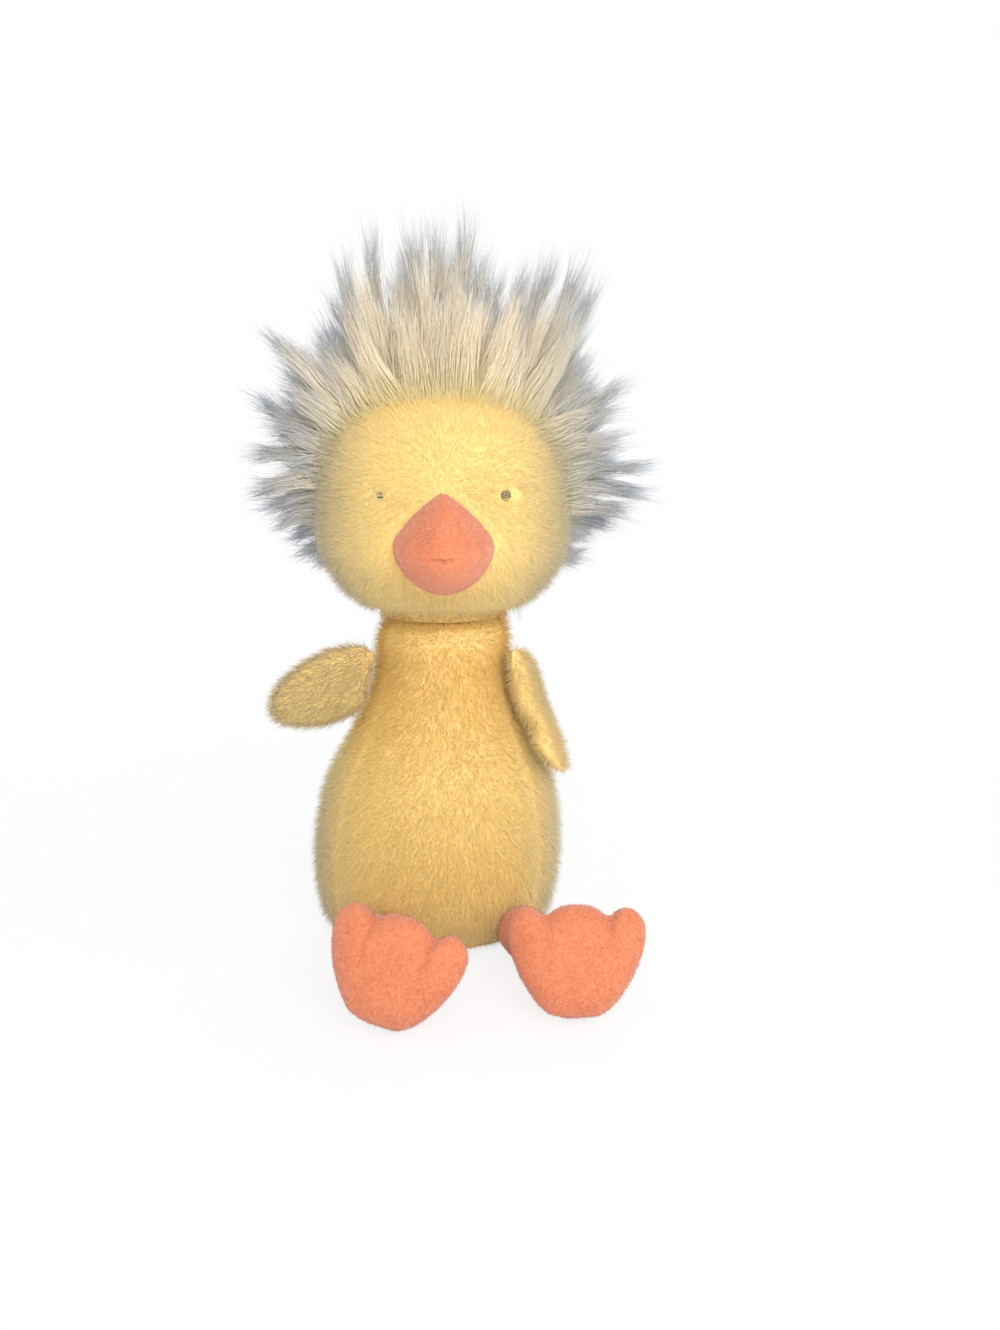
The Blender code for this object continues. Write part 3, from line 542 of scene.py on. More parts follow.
def makeBeakCover():
    inset = beak["inset"]
    tipFront = -head["half"][1] - beak["length"] + inset
    rings = []
    for i in range(beak["rows"] + 1):
        share = 1 - (1 - i / beak["rows"]) ** beak["crowding"]
        size = max(1 - share ** beak["fullness"], 0.0) ** beak["bluntness"]
        ring = []
        for j in range(beak["columns"]):
            angle = math.tau * j / beak["columns"]
            right, high = math.cos(angle), math.sin(angle)
            bend = beak["upperPoint"] if high > 0 else beak["lowerPoint"]
            across = (beak["halfWidth"] - inset) * math.copysign(abs(right) ** bend, right)
            above = math.copysign(abs(high) ** bend, high)
            above *= (beak["upper"] if above > 0 else beak["lower"]) - inset
            root = headFront(across, above - beak["below"], -beak["sink"])
            front = root + (tipFront - root) * share
            height = above * size - beak["below"] - beak["tipDrop"] * share
            ring.append(headCenter + Vector((across * size, front, height)))
        rings.append(ring)
    rings[-1] = [sum(rings[-1], Vector()) / beak["columns"]] * beak["columns"]
    middle = sum(rings[0], Vector()) / beak["columns"]
    behind = Vector((0, beak["backDepth"], 0))
    back = [[middle.lerp(point, share) + behind for point in rings[0]] for share in beak["backShares"]]
    cover = newObject("beakCover", skinRings(back + rings), materials["coralVelour"])
    stuff(cover, beak["voxel"], beak["cap"])
    middleHeight = headCenter.z - beak["below"]
    for vert in cover.data.vertices:  # the mouth seam runs round the tip, deepest in front
        share = within01((-vert.co.y - head["half"][1]) / beak["length"])
        line = middleHeight - beak["tipDrop"] * share
        near = math.exp(-((vert.co.z - line) / beak["mouthHalf"]) ** 2)
        front = share**2 * math.exp(-((vert.co.x - headCenter.x) / beak["mouthReach"]) ** 4)
        depth = beak["seamDepth"] + (beak["mouthDepth"] - beak["seamDepth"]) * front
        vert.co -= vert.normal * depth * near
    return cover


# Wings
wing = {
    "top": 0.1325, "root": 0.0325, "span": 0.0405, "drop": 0.0410, "half": 0.0050, "rootRadius": 0.0035,
    "inset": 0.0012, "stand": 0.0003, "steps": 4, "rows": 7, "voxel": 0.0022, "cap": 0.0006,
    "rootEdge": ((0.9, 0.75), (0.5, 1.0), (0.1, 0.75)),  # shares of the root's length and radius
    "outline": (  # shares of drop and span
        (0.06, 0.30), (0.28, 0.70), (0.55, 0.95), (0.82, 1.00), (0.99, 0.84), (0.99, 0.50), (0.90, 0.20)),
    "droopFrom": 1.6, "nap": (0.3, 1, 0),  # the way the pile lies, down and out
    # The right wing's pile is painted greyer than the left's, as painted shade
    "left": {"side": 1, "forward": -70.0, "droop": 55.0, "curl": 0.0120, "shade": 0.3},
    "right": {"side": -1, "forward": 26.0, "droop": 0.0, "curl": 0.0, "shade": 0.85},
}


def insetOutline(outline, depth):
    inset = []
    for i, point in enumerate(outline):
        along = (outline[(i + 1) % len(outline)] - outline[i - 1]).normalized()
        inset.append(point + Vector((-along.y, along.x)) * depth)
    return inset


# A pillow's rings shrink towards its two faces, and grow rounder there.
pillow = {"edge": 0.62, "rounding": 0.6}


def pillowRings(outline, middle, half, rows, curl=None):
    mean = sum((point - middle).length for point in outline) / len(outline)
    rings = []
    for k in range(-rows, rows + 1):
        angle = math.radians(90 * k / rows)
        size = 0.0 if abs(k) == rows else math.cos(angle) ** pillow["edge"]
        ring = []
        for point in outline:
            spoke = point - middle
            spoke = spoke.lerp(spoke.normalized() * mean, pillow["rounding"] * (1 - size)) * size
            spot = Vector((middle.x + spoke.x, middle.y + spoke.y, half * math.sin(angle)))
            spot.z += curl(spot) if curl else 0.0
            ring.append(spot)
        rings.append(ring)
    return rings


def wingOutline(droop):
    pivot = Vector((wing["root"] / 2, 0))
    knots = [(wing["root"] * down, -wing["rootRadius"] * out) for down, out in wing["rootEdge"]]
    for down, out in wing["outline"]:
        arm = Vector((wing["drop"] * down, wing["span"] * out)) - pivot
        turn = math.radians(-droop) * min(wing["droopFrom"] * out, 1.0)
        knots.append(pivot + Matrix.Rotation(turn, 2) @ arm)
    return smoothPath(knots, wing["steps"], closed=True)[::-1]


def wingFrame(side, forward):
    stand = wing["rootRadius"] + wing["stand"]
    ends = []
    for height in (wing["top"], wing["top"] - wing["root"]):
        station = bodyStationAt(height) + Vector((stand, stand, 0))
        ends.append(bodyPoint(station, side * body["seamAngle"]))
    down = (ends[1] - ends[0]).normalized()
    outward = Vector((side, 0, 0))
    outward = (outward - down * outward.dot(down)).normalized()
    outward = Matrix.Rotation(math.radians(side * forward), 3, down) @ outward
    turn = Matrix((down, outward, down.cross(outward))).transposed().to_4x4()
    return Matrix.Translation(ends[0]) @ turn


def makeWingCover(name, look):
    place = wingFrame(look["side"], look["forward"])
    outline = wingOutline(look["droop"])
    middle = sum(outline, Vector((0, 0))) / len(outline)

    def bendOut(point):
        share = max(point.x - wing["root"] / 2, 0.0) / wing["drop"]
        return look["side"] * look["curl"] * share**2

    rings = pillowRings(insetOutline(outline, wing["inset"]), middle, wing["half"] - wing["inset"],
                        wing["rows"], bendOut)
    bm = skinRings(rings)
    bm.transform(place)
    return newObject(name, bm, materials["pileBacking"]), place


# Legs and feet
leg = {
    "radius": 0.0110, "swell": 0.0006, "ankle": 0.0098, "length": 0.0440, "hipHeight": 0.0135,
    "hipSink": 0.0042, "inset": 0.0005, "endRows": 6, "rows": 10, "columns": 28, "fuzzDensity": 0.7e6,
    "left": {"hipAngle": 38.0, "outward": 21.5}, "right": {"hipAngle": -25.0, "outward": 14.0},
}
foot = {
    "halfWidth": 0.0272, "height": 0.0455, "notch": 0.0045, "half": 0.0100, "ankleUp": 0.0165,
    "ankleSink": 0.0045, "floorGap": 0.0009, "inset": 0.0008, "steps": 6, "rows": 10,
    "voxel": 0.0018, "cap": 0.0007, "floorSteps": 2, "floorRows": 3,
    "creaseDepth": 0.0022, "creaseAt": 0.46, "creaseTurn": 0.12, "creaseHalf": 0.0016, "creaseReach": 0.026,
    "creaseFade": 0.020, "creasePower": 1.5, "creaseEdge": 0.004,
    "lumps": ((160, 0.5), (420, 0.25)),  # how fine, and how strong
    "lumpHeight": 0.0005, "ankleGap": 0.0002,
    "side": ((0.44, 0.05), (0.78, 0.30), (0.98, 0.58), (1.0, 0.82), (0.74, 0.97), (0.46, 0.9), (0.27, 0.97)),
    "left": {"outward": 2.0, "lean": 14.0, "roll": 2.0},
    "right": {"outward": -14.0, "lean": 9.0, "roll": 15.0},
}


def hipPoint(name):
    station = bodyStationAt(leg["hipHeight"])
    surface = bodyPoint(station, leg[name]["hipAngle"])
    outward = Vector((surface.x / station.x**2, surface.y / station.y**2, 0)).normalized()
    return surface + outward * (leg["radius"] - leg["hipSink"])


def footTurn(heading, lean, roll):
    bearing = math.radians(heading)
    out = Vector((math.sin(bearing), -math.cos(bearing), 0))
    up = Vector((0, 0, 1))
    turn = Matrix((up.cross(out), up, out)).transposed().to_4x4()
    return turn @ Matrix.Rotation(math.radians(-lean), 4, "X") @ Matrix.Rotation(math.radians(-roll), 4, "Z")


def footOutline(steps):
    notch = 1 - foot["notch"] / foot["height"]
    half = (*foot["side"][:-2], (foot["side"][-2][0], notch), foot["side"][-1])
    knots = [(0.0, 0.0), *half, (0.0, 1.0)] + [(-across, up) for across, up in half[::-1]]
    knots = [(across * foot["halfWidth"], up * foot["height"] - foot["ankleUp"]) for across, up in knots]
    return smoothPath(knots, steps, closed=True)


footMiddle = Vector((0, foot["height"] / 2 - foot["ankleUp"]))
footLift = Vector((0, 0, leg["ankle"] - foot["ankleSink"] + foot["half"]))


def anklePoint(name, turn):
    lowest = 0.0
    for ring in pillowRings(footOutline(foot["floorSteps"]), footMiddle, foot["half"], foot["floorRows"]):
        lowest = min(lowest, min((turn @ (point + footLift)).z for point in ring))
    bearing = math.radians(leg[name]["outward"])
    ankle = hipPoint(name) + Vector((math.sin(bearing), -math.cos(bearing), 0)) * leg["length"]
    ankle.z = foot["floorGap"] - lowest
    return ankle


def makeLegCover(name, turn):
    hip = hipPoint(name)
    ankle = anklePoint(name, turn)
    axis = ankle - hip
    hipRadius = leg["radius"] - leg["inset"]
    ankleRadius = leg["ankle"] - leg["inset"]
    last = leg["endRows"]
    profile = []
    for k in range(last + 1):
        angle = math.radians(90 * k / last)
        profile.append((-hipRadius * math.cos(angle), hipRadius * math.sin(angle) if k else 0.0))
    for k in range(1, leg["rows"]):
        share = k / leg["rows"]
        swell = leg["swell"] * math.sin(math.pi * share)
        profile.append((axis.length * share, hipRadius + (ankleRadius - hipRadius) * share + swell))
    for k in range(last + 1):
        angle = math.radians(90 * k / last)
        width = ankleRadius * math.cos(angle) if k < last else 0.0
        profile.append((axis.length + ankleRadius * math.sin(angle), width))
    rings = turnedRings(profile, hip, axis.normalized(), leg["columns"])
    return newObject(f"leg{name.title()}Cover", skinRings(rings), materials["coralVelour"]), ankle


# Toe creases run down from the notches and fade out over the middle of the foot. Small lumps roughen the
# cloth, and the ankle pushes a hollow in the back of the foot.
def makeFootCover(name, ankle, turn):
    place = Matrix.Translation(ankle) @ turn @ Matrix.Translation(footLift)
    outline = insetOutline(footOutline(foot["steps"]), foot["inset"])
    rings = pillowRings(outline, footMiddle, foot["half"] - foot["inset"], foot["rows"])
    cover = newObject(name, skinRings(rings), materials["coralVelour"])
    stuff(cover, foot["voxel"], foot["cap"])
    top = foot["height"] - foot["ankleUp"]
    for vert in cover.data.vertices:
        point = vert.co
        for side in (-1, 1):
            turned = foot["creaseTurn"] * (top - point.y) / foot["height"]
            line = side * foot["halfWidth"] * (foot["creaseAt"] - turned)
            near = math.exp(-((point.x - line) / foot["creaseHalf"]) ** 2)
            reach = within01((point.y - (top - foot["creaseReach"])) / foot["creaseFade"])
            depth = foot["creaseDepth"] * near * reach ** foot["creasePower"]
            point.z -= math.copysign(depth, point.z) * min(abs(point.z) / foot["creaseEdge"], 1)
        rough = sum(noise.noise(point * fine) * strength for fine, strength in foot["lumps"])
        point += vert.normal * rough * foot["lumpHeight"]
        seatWay = point + footLift
        hollow = leg["ankle"] + foot["ankleGap"]
        if seatWay.length < hollow:
            point += seatWay.normalized() * (hollow - seatWay.length)
    cover.data.transform(place)
    return cover


# Fur: strands grown on a cover's own faces with geometry nodes
painted = (("growth", "FLOAT"), ("shade", "FLOAT"), ("flow", "FLOAT_VECTOR"), ("tone", "FLOAT"))


def newTree(name, sockets):
    tree = bpy.data.node_groups.new(name, "GeometryNodeTree")
    tree.interface.new_socket(name="Geometry", in_out="INPUT", socket_type="NodeSocketGeometry")
    tree.interface.new_socket(name="Geometry", in_out="OUTPUT", socket_type="NodeSocketGeometry")
    for socketName, kind in sockets:
        tree.interface.new_socket(name=socketName, in_out="INPUT", socket_type="NodeSocket" + kind)
    net = Net(tree)
    entry = net.add("NodeGroupInput")
    return tree, net, entry


# Sides, points and taper of a strand, how its shade and length vary, and where it lies on the map
strand = {
    "sides": 3, "start": (0, 0, 0), "end": (0, 0, 0.001),  # drawn short, then every point is placed
    "pilePoints": 3, "pileTaper": 0.8, "pileJitter": 0.08,
    "hairPoints": 6, "hairTaper": 0.4, "hairJitter": 0.12, "rootJitter": 0.0022, "gatherLeast": 0.7,
    "looseSpread": 1.3, "holdEvens": 0.8, "edgeGrowth": 1.3, "waveScale": 90.0,
    "shadeSpan": 0.94, "aroundSpan": 0.03, "acrossFrom": 0.01, "alongSpan": 0.96, "alongFrom": 0.02,
}
# Added to a pile's seed, so that each of its random draws is its own
seedStep = {"root": 3, "length": 5, "shade": 7, "gather": 9, "pileStray": 11, "hairStray": 13}


# Curves become thin tubes that close at the tip. The map holds the shade, and the way along times the tone.
def closeStrands(net, entry, curves, radius, taper):
    along = net.add("GeometryNodeSplineParameter")
    curves = net.store(curves, "along", along)
    ring = net.add("GeometryNodeCurvePrimitiveCircle", {"mode": "RADIUS"}, {
        "Resolution": strand["sides"], "Radius": 1.0})
    ring = net.store(ring, "around", net.add("GeometryNodeSplineParameter"))
    thick = radius * (1 - along) ** taper
    tubes = net.add("GeometryNodeCurveToMesh", {}, {
        "Curve": curves, "Profile Curve": ring, "Scale": thick, "Fill Caps": False})
    tubes = net.add("GeometryNodeMergeByDistance", {}, {"Geometry": tubes, "Distance": weldGap})
    across = net.named("strandShade") * strand["shadeSpan"] + strand["acrossFrom"]
    across = across + net.named("around") * strand["aroundSpan"]
    upward = net.named("along") * net.named("strandTone") * strand["alongSpan"] + strand["alongFrom"]
    place = net.add("ShaderNodeCombineXYZ", {}, {"X": across, "Y": upward})
    tubes = net.store(tubes, "OFBake", place, "FLOAT2", "CORNER")
    for name in ("along", "around", "strandShade", "strandTone", *(layer for layer, kind in painted)):
        tubes = net.add("GeometryNodeRemoveAttribute", {}, {"Geometry": tubes, "Name": name})
    tubes = net.add("GeometryNodeSetShadeSmooth", {}, {"Geometry": tubes})
    tubes = net.add("GeometryNodeSetMaterial", {}, {"Geometry": tubes, "Material": entry.of("Material")})
    tubes = net.add("GeometryNodeRealizeInstances", {}, {"Geometry": tubes})
    net.add("NodeGroupOutput", {}, {"Geometry": tubes})


def bareStrands(net, points, count):
    line = net.add("GeometryNodeCurvePrimitiveLine", {"mode": "POINTS"}, {
        "Start": strand["start"], "End": strand["end"]})
    line = net.add("GeometryNodeResampleCurve", {"mode": "COUNT"}, {"Curve": line, "Count": count})
    strands = net.add("GeometryNodeInstanceOnPoints", {}, {"Points": points, "Instance": line})
    strands = net.add("GeometryNodeRealizeInstances", {}, {"Geometry": strands})
    index = net.add("GeometryNodeInputIndex")
    number = (index / count).calc("FLOOR")
    return strands, number


def sampled(net, points, value, number, kind="FLOAT"):
    return net.add("GeometryNodeSampleIndex", {"data_type": kind, "domain": "POINT"}, {
        "Geometry": points, "Value": value, "Index": number})


def carried(net, points, number, names, kind="FLOAT"):  # named attributes of points, read by number
    return [sampled(net, points, net.named(name, kind), number, kind) for name in names]


def makePileTree():
    tree, net, entry = newTree("shortPile", (
        ("Density", "Float"), ("Length", "Float"), ("Length Spread", "Float"), ("Width", "Float"),
        ("Lean", "Float"), ("Curl", "Float"), ("Tangle", "Float"), ("Patch Size", "Float"),
        ("Stray", "Float"), ("Shade Spread", "Float"), ("Tone", "Float"), ("Sink", "Float"), ("Seed", "Int"),
        ("Material", "Material")))
    seed = entry.of("Seed")
    grown = net.named("growth")
    spots = net.add("GeometryNodeDistributePointsOnFaces", {"distribute_method": "RANDOM"}, {
        "Mesh": entry.of("Geometry"), "Density": entry.of("Density") * grown ** 0.5, "Seed": seed})
    normal = spots.of("Normal")
    points = net.store(spots, "rootNormal", normal, "FLOAT_VECTOR")
    index = net.add("GeometryNodeInputIndex")
    position = net.add("GeometryNodeInputPosition")
    patch = net.add("ShaderNodeTexNoise", {}, {
        "Vector": position, "Scale": 1 / entry.of("Patch Size"), "Detail": 1.0})
    tangled = net.vector("SUBTRACT", patch.of("Color"), (0.5, 0.5, 0.5))
    flow = net.named("flow", "FLOAT_VECTOR")
    way = net.pushed(net.named("rootNormal", "FLOAT_VECTOR"), flow, entry.of("Lean"))
    way = net.pushed(way, tangled, entry.of("Tangle"))
    way = net.pushed(way, net.randomVector(1.0, seed + seedStep["pileStray"], index), entry.of("Stray"))
    way = net.vector("NORMALIZE", way)
    spread = net.randomValue(0.0, 1.0, seed + seedStep["length"], index)
    length = entry.of("Length") * grown * (1 - entry.of("Length Spread") * spread)
    shade = net.named("shade") + (patch - 0.5) * entry.of("Shade Spread")
    jitter = strand["pileJitter"]
    shade = (shade + net.randomValue(-jitter, jitter, seed + seedStep["shade"], index)).clamped()
    points = net.store(points, "strandWay", way, "FLOAT_VECTOR")
    points = net.store(points, "strandLength", length)
    points = net.store(points, "strandShade", shade)
    strands, number = bareStrands(net, points, strand["pilePoints"])
    root = sampled(net, points, position, number, "FLOAT_VECTOR")
    up, way, bend = carried(net, points, number, ("rootNormal", "strandWay", "flow"), "FLOAT_VECTOR")
    length, shade, tone = carried(net, points, number, ("strandLength", "strandShade", "tone"))
    t = net.add("GeometryNodeSplineParameter")
    spot = net.pushed(root, up, entry.of("Sink"), "SUBTRACT")
    spot = net.pushed(spot, way, length * t)
    spot = net.pushed(spot, bend, length * entry.of("Curl") * t * t)
    strands = net.store(strands, "strandShade", shade)
    strands = net.store(strands, "strandTone", tone * entry.of("Tone"))
    strands = net.add("GeometryNodeSetPosition", {}, {"Geometry": strands, "Position": spot})
    closeStrands(net, entry, strands, entry.of("Width"), strand["pileTaper"])
    return tree


# Long strands draw together towards the nearest lock, whose path is kept on the guide points.
def makeHairTree():
    tree, net, entry = newTree("longPile", (
        ("Guides", "Object"), ("Density", "Float"), ("Length Spread", "Float"), ("Width", "Float"),
        ("Gather", "Float"), ("Stray", "Float"), ("Wave", "Float"), ("Sink", "Float"),
        ("Seed", "Int"), ("Material", "Material")))
    seed = entry.of("Seed")
    guides = net.add("GeometryNodeObjectInfo", {"transform_space": "ORIGINAL"}, {
        "Object": entry.of("Guides")}).of("Geometry")
    spots = net.add("GeometryNodeDistributePointsOnFaces", {"distribute_method": "RANDOM"}, {
        "Mesh": entry.of("Geometry"), "Density": entry.of("Density") * net.named("growth"), "Seed": seed})
    normal = spots.of("Normal")
    points = net.store(spots, "rootNormal", normal, "FLOAT_VECTOR")
    position = net.add("GeometryNodeInputPosition")
    index = net.add("GeometryNodeInputIndex")
    jitter = net.randomVector(strand["rootJitter"], seed + seedStep["root"], index)
    nearest = net.add("GeometryNodeSampleNearest", {"domain": "POINT"}, {
        "Geometry": guides, "Sample Position": net.vector("ADD", position, jitter)})
    guideRoot = sampled(net, guides, position, nearest, "FLOAT_VECTOR")
    points = net.store(points, "guideRoot", guideRoot, "FLOAT_VECTOR")
    for name, value in zip(("reach", "sweep"), carried(
            net, guides, nearest, ("reach", "sweep"), "FLOAT_VECTOR")):
        points = net.store(points, name, value, "FLOAT_VECTOR")
    tint, hold = carried(net, guides, nearest, ("tint", "hold"))
    jitter = strand["hairJitter"]
    shade = net.named("shade") + tint
    shade = (shade + net.randomValue(-jitter, jitter, seed + seedStep["shade"], index)).clamped()
    spread = entry.of("Length Spread") * (strand["looseSpread"] - hold * strand["holdEvens"])
    short = 1 - spread * net.randomValue(0.0, 1.0, seed + seedStep["length"], index)
    short = short * (net.named("growth") * strand["edgeGrowth"]).calc("MINIMUM", 1.0)
    points = net.store(points, "strandShade", shade)
    points = net.store(points, "strandLength", short)
    gather = entry.of("Gather") * hold
    gather = gather * net.randomValue(strand["gatherLeast"], 1.0, seed + seedStep["gather"], index)
    points = net.store(points, "gather", gather)
    stray = net.randomVector(1.0, seed + seedStep["hairStray"], index)
    stray = net.vector("SCALE", stray, scale=entry.of("Stray"))
    points = net.store(points, "stray", stray, "FLOAT_VECTOR")
    strands, number = bareStrands(net, points, strand["hairPoints"])
    root = sampled(net, points, position, number, "FLOAT_VECTOR")
    up, guideRoot, reach, sweep, stray = carried(
        net, points, number, ("rootNormal", "guideRoot", "reach", "sweep", "stray"), "FLOAT_VECTOR")
    short, gather, shade = carried(net, points, number, ("strandLength", "gather", "strandShade"))
    t = net.add("GeometryNodeSplineParameter")
    way = t * short
    aside = net.vector("SUBTRACT", root, guideRoot)
    spot = net.pushed(guideRoot, aside, 1 - gather * way * way * (3 - 2 * way))
    spot = net.pushed(spot, up, entry.of("Sink"), "SUBTRACT")
    spot = net.pushed(spot, reach, way)
    spot = net.pushed(spot, sweep, way * (1 - way))
    spot = net.pushed(spot, stray, way * way)
    ripple = net.add("ShaderNodeTexNoise", {}, {
        "Vector": spot, "Scale": strand["waveScale"], "Detail": 1.0})
    ripple = net.vector("SUBTRACT", ripple.of("Color"), (0.5, 0.5, 0.5))
    spot = net.pushed(spot, ripple, entry.of("Wave") * way)
    strands = net.store(strands, "strandShade", shade)
    strands = net.store(strands, "strandTone", short)
    strands = net.add("GeometryNodeSetPosition", {}, {"Geometry": strands, "Position": spot})
    closeStrands(net, entry, strands, entry.of("Width"), strand["hairTaper"])
    return tree


pileTree = makePileTree()
hairTree = makeHairTree()
print("fur trees ready")


def newLayers(mesh, kinds):
    for name, kind in kinds:
        mesh.attributes.new(name, kind, "POINT")
    return [mesh.attributes[name] for name, kind in kinds]


# Growth, shade, flow and tone are painted on the cover's vertices by rules of place.
def paintCover(cover, growth, shade, flow, tone=lambda point: 1.0):
    growths, shades, flows, tones = [layer.data for layer in newLayers(cover.data, painted)]
    for i, vert in enumerate(cover.data.vertices):
        lying = flow(vert.co, vert.normal)
        lying = lying - vert.normal * lying.dot(vert.normal)
        growths[i].value = growth(vert.co, vert.normal)
        shades[i].value = shade(vert.co, vert.normal)
        flows[i].vector = lying.normalized() if lying.length > 1 else lying
        tones[i].value = tone(vert.co)


def declare(piece, bodyName, nodes=()):
    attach(piece, bodyName)
    if nodes:
        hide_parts(*nodes)


# Fur grows on the faces of the cover that are within its part, and rides on the cover's body.
def addFur(name, cover, tree, values, within, materialName, bodyName):
    bm = bmesh.new()
    bm.from_mesh(cover.data)
    gone = [face for face in bm.faces if not within(face.calc_center_median())]
    bmesh.ops.delete(bm, geom=gone, context="FACES")
    mesh = bpy.data.meshes.new(name)
    bm.to_mesh(mesh)
    bm.free()
    patch = bpy.data.objects.new(name + "Patch", mesh)
    scene.collection.objects.link(patch)
    grower = patch.modifiers.new("fur", "NODES")
    grower.node_group = tree
    values = {**values, "Material": materials[materialName]}
    for item in tree.interface.items_tree:
        if item.in_out == "INPUT" and item.name in values:
            grower[item.identifier] = values[item.name]
    bpy.context.view_layer.update()
    evaluated = patch.evaluated_get(bpy.context.evaluated_depsgraph_get())
    furMesh = bpy.data.meshes.new_from_object(evaluated)
    furMesh.name = name
    fur = bpy.data.objects.new(name, furMesh)
    scene.collection.objects.link(fur)
    bpy.data.objects.remove(patch)
    print(f"  {name}: {sum(len(face.vertices) - 2 for face in furMesh.polygons)} triangles")
    declare(fur, bodyName)


def everywhere(spot):
    return True


def down(point, normal):
    return Vector((0, 0, -1))


# The body and its pile
bodyPile = {
    "Density": 1.55e6, "Length": 0.0064, "Length Spread": 0.5, "Width": 0.00012, "Lean": 0.45, "Curl": 0.25,
    "Tangle": 0.30, "Patch Size": 0.0030, "Stray": 0.55, "Shade Spread": 0.4, "Tone": 1.0, "Sink": 0.0004,
    "Seed": 3,
}
bodyRule = {
    "seamThinning": 0.45, "baseFacing": -0.85, "baseTo": 0.006, "baseGrowth": 0.12, "topFacing": 0.9,
    "topFrom": 0.13, "footGrowth": 0.35, "footFade": (0.002, 0.014), "hipFade": (-0.001, 0.004),
    "shade": 0.04, "halfWidth": 0.056, "sideShade": 0.8, "sideFade": (0.45, 1.0), "lowShade": 0.55,
    "lowTo": 0.030, "seamShade": 0.2, "highShade": 0.16, "chestFade": (0.070, 0.120), "chestTone": 0.75,
    "napFade": (0.126, 0.136), "napRise": 1.6,
}
hips = [hipPoint(name) for name in ("left", "right")]


def bodyGive(point):  # the base and the top edge hold still while the cloth is blown up
    return ease(point.z, 0.0, body["heldBase"]) * ease(body["heldTop"] - point.z, 0.0, body["heldFade"])


bodyCover = stuff(makeBodyCover(), body["voxel"], body["cap"], bodyGive)


def seamNearness(point):  # 1 on a side seam or the seam at the back
    angle = math.degrees(math.atan2(point.x - body["lean"] * point.z, -point.y))
    radius = math.hypot(point.x, point.y)
    away = min(abs(abs(angle) - body["seamAngle"]), 180 - abs(angle))
    return math.exp(-(math.radians(away) * radius / body["seamHalf"]) ** 2)


def bodyGrowth(point, normal):  # the pile thins along seams, towards the base and round the legs
    rule = bodyRule
    grown = 1.0 - rule["seamThinning"] * seamNearness(point)
    if normal.z < rule["baseFacing"] and point.z < rule["baseTo"]:
        return rule["baseGrowth"]
    if normal.z > rule["topFacing"] and point.z > rule["topFrom"]:
        return 0.0
    grown *= rule["footGrowth"] + (1 - rule["footGrowth"]) * ease(point.z, *rule["footFade"])
    for hip in hips:
        grown *= ease((point - hip).length, *(leg["radius"] + away for away in rule["hipFade"]))
    return grown


def bodyShade(point, normal):  # greyer at the sides and low down, partly painted shade where the light falls off; warmer along seams and at the chest
    rule = bodyRule
    side = ease(abs(point.x - body["lean"] * point.z) / rule["halfWidth"], *rule["sideFade"])
    low = ease(rule["lowTo"] - point.z, 0.0, rule["lowTo"])
    high = ease(point.z, *rule["chestFade"])
    shade = rule["shade"] + rule["sideShade"] * side + rule["lowShade"] * low
    return shade - rule["seamShade"] * seamNearness(point) - rule["highShade"] * high


def bodyFlow(point, normal):  # the nap lies down the body, and stands up at the neck's top edge
    return Vector((0, 0, bodyRule["napRise"] * ease(point.z, *bodyRule["napFade"]) - 1))


def bodyToneAndChinShade(point):  # the chest and the neck are a deeper, darker yellow than the belly: partly the pile's own tone, partly painted shade under the chin
    return 1 - bodyRule["chestTone"] * ease(point.z, *bodyRule["chestFade"])


paintCover(bodyCover, bodyGrowth, bodyShade, bodyFlow, bodyToneAndChinShade)
declare(bodyCover, "body", (
    "body_front_panel", "body_left_panel", "body_right_panel", "base_panel", "body_stuffing",
    "bean_pouch"))
for name, share, within in (
        ("bodyPileFrontLeft", 1.0, lambda spot: spot.y < 0 and spot.x >= 0),
        ("bodyPileFrontRight", 1.0, lambda spot: spot.y < 0 and spot.x < 0),
        ("bodyPileBackLeft", body["backDensity"], lambda spot: spot.y >= 0 and spot.x >= 0),
        ("bodyPileBackRight", body["backDensity"], lambda spot: spot.y >= 0 and spot.x < 0)):
    values = dict(bodyPile, Density=bodyPile["Density"] * share)
    addFur(name, bodyCover, pileTree, values, within, "yellowPile", "body")
print("body done")

# The head, its face pile and the crown
facePile = dict(bodyPile, **{"Length": 0.0066, "Lean": 0.45, "Seed": 21, "Density": 1.35e6})
neckPile = dict(bodyPile, **{"Length": 0.0066, "Lean": 0.5, "Seed": 23, "Density": 1.8e6})
underfurPile = dict(bodyPile, **{
    "Length": 0.0200, "Length Spread": 0.6, "Lean": 0.5, "Stray": 0.45, "Seed": 25, "Density": 1.0e6,
    "Width": 0.00016, "Tone": 0.5})
faceRule = {
    "beakClear": 0.93, "beakFade": (0.98, 1.25), "beakGrowth": 0.4, "eyeFade": (0.8, 3.4),
    "underThinning": 0.35, "underFade": (0.55, 0.95), "rimGrowth": 0.7, "rimFade": (-12.0, 2.0),
    "hairlineThinning": 0.85, "hairlineFade": (1.0, 13.0), "furTo": 13.0,
    "shade": 0.02, "sideShade": 0.9, "sideFade": (0.35, 1.0), "lowShade": 0.4, "lowFade": (0.010, 0.045),
    "eyeShade": 0.6, "eyeReach": 0.0024, "rimShade": 0.3, "rimShadeFade": (-10.0, 3.0),
    "rimSide": (0.35, 0.8), "flowFrom": (0, -0.055, -0.006), "flowDrop": (0, 0, -0.01), "eyeLean": 0.8,
    "flowLength": 3,
}
headCover = stuff(makeHeadCover(), head["voxel"], head["cap"],
                  lambda point: ease(point.z, head["heldFrom"], head["heldTo"]))
neckCover = makeNeckCover()
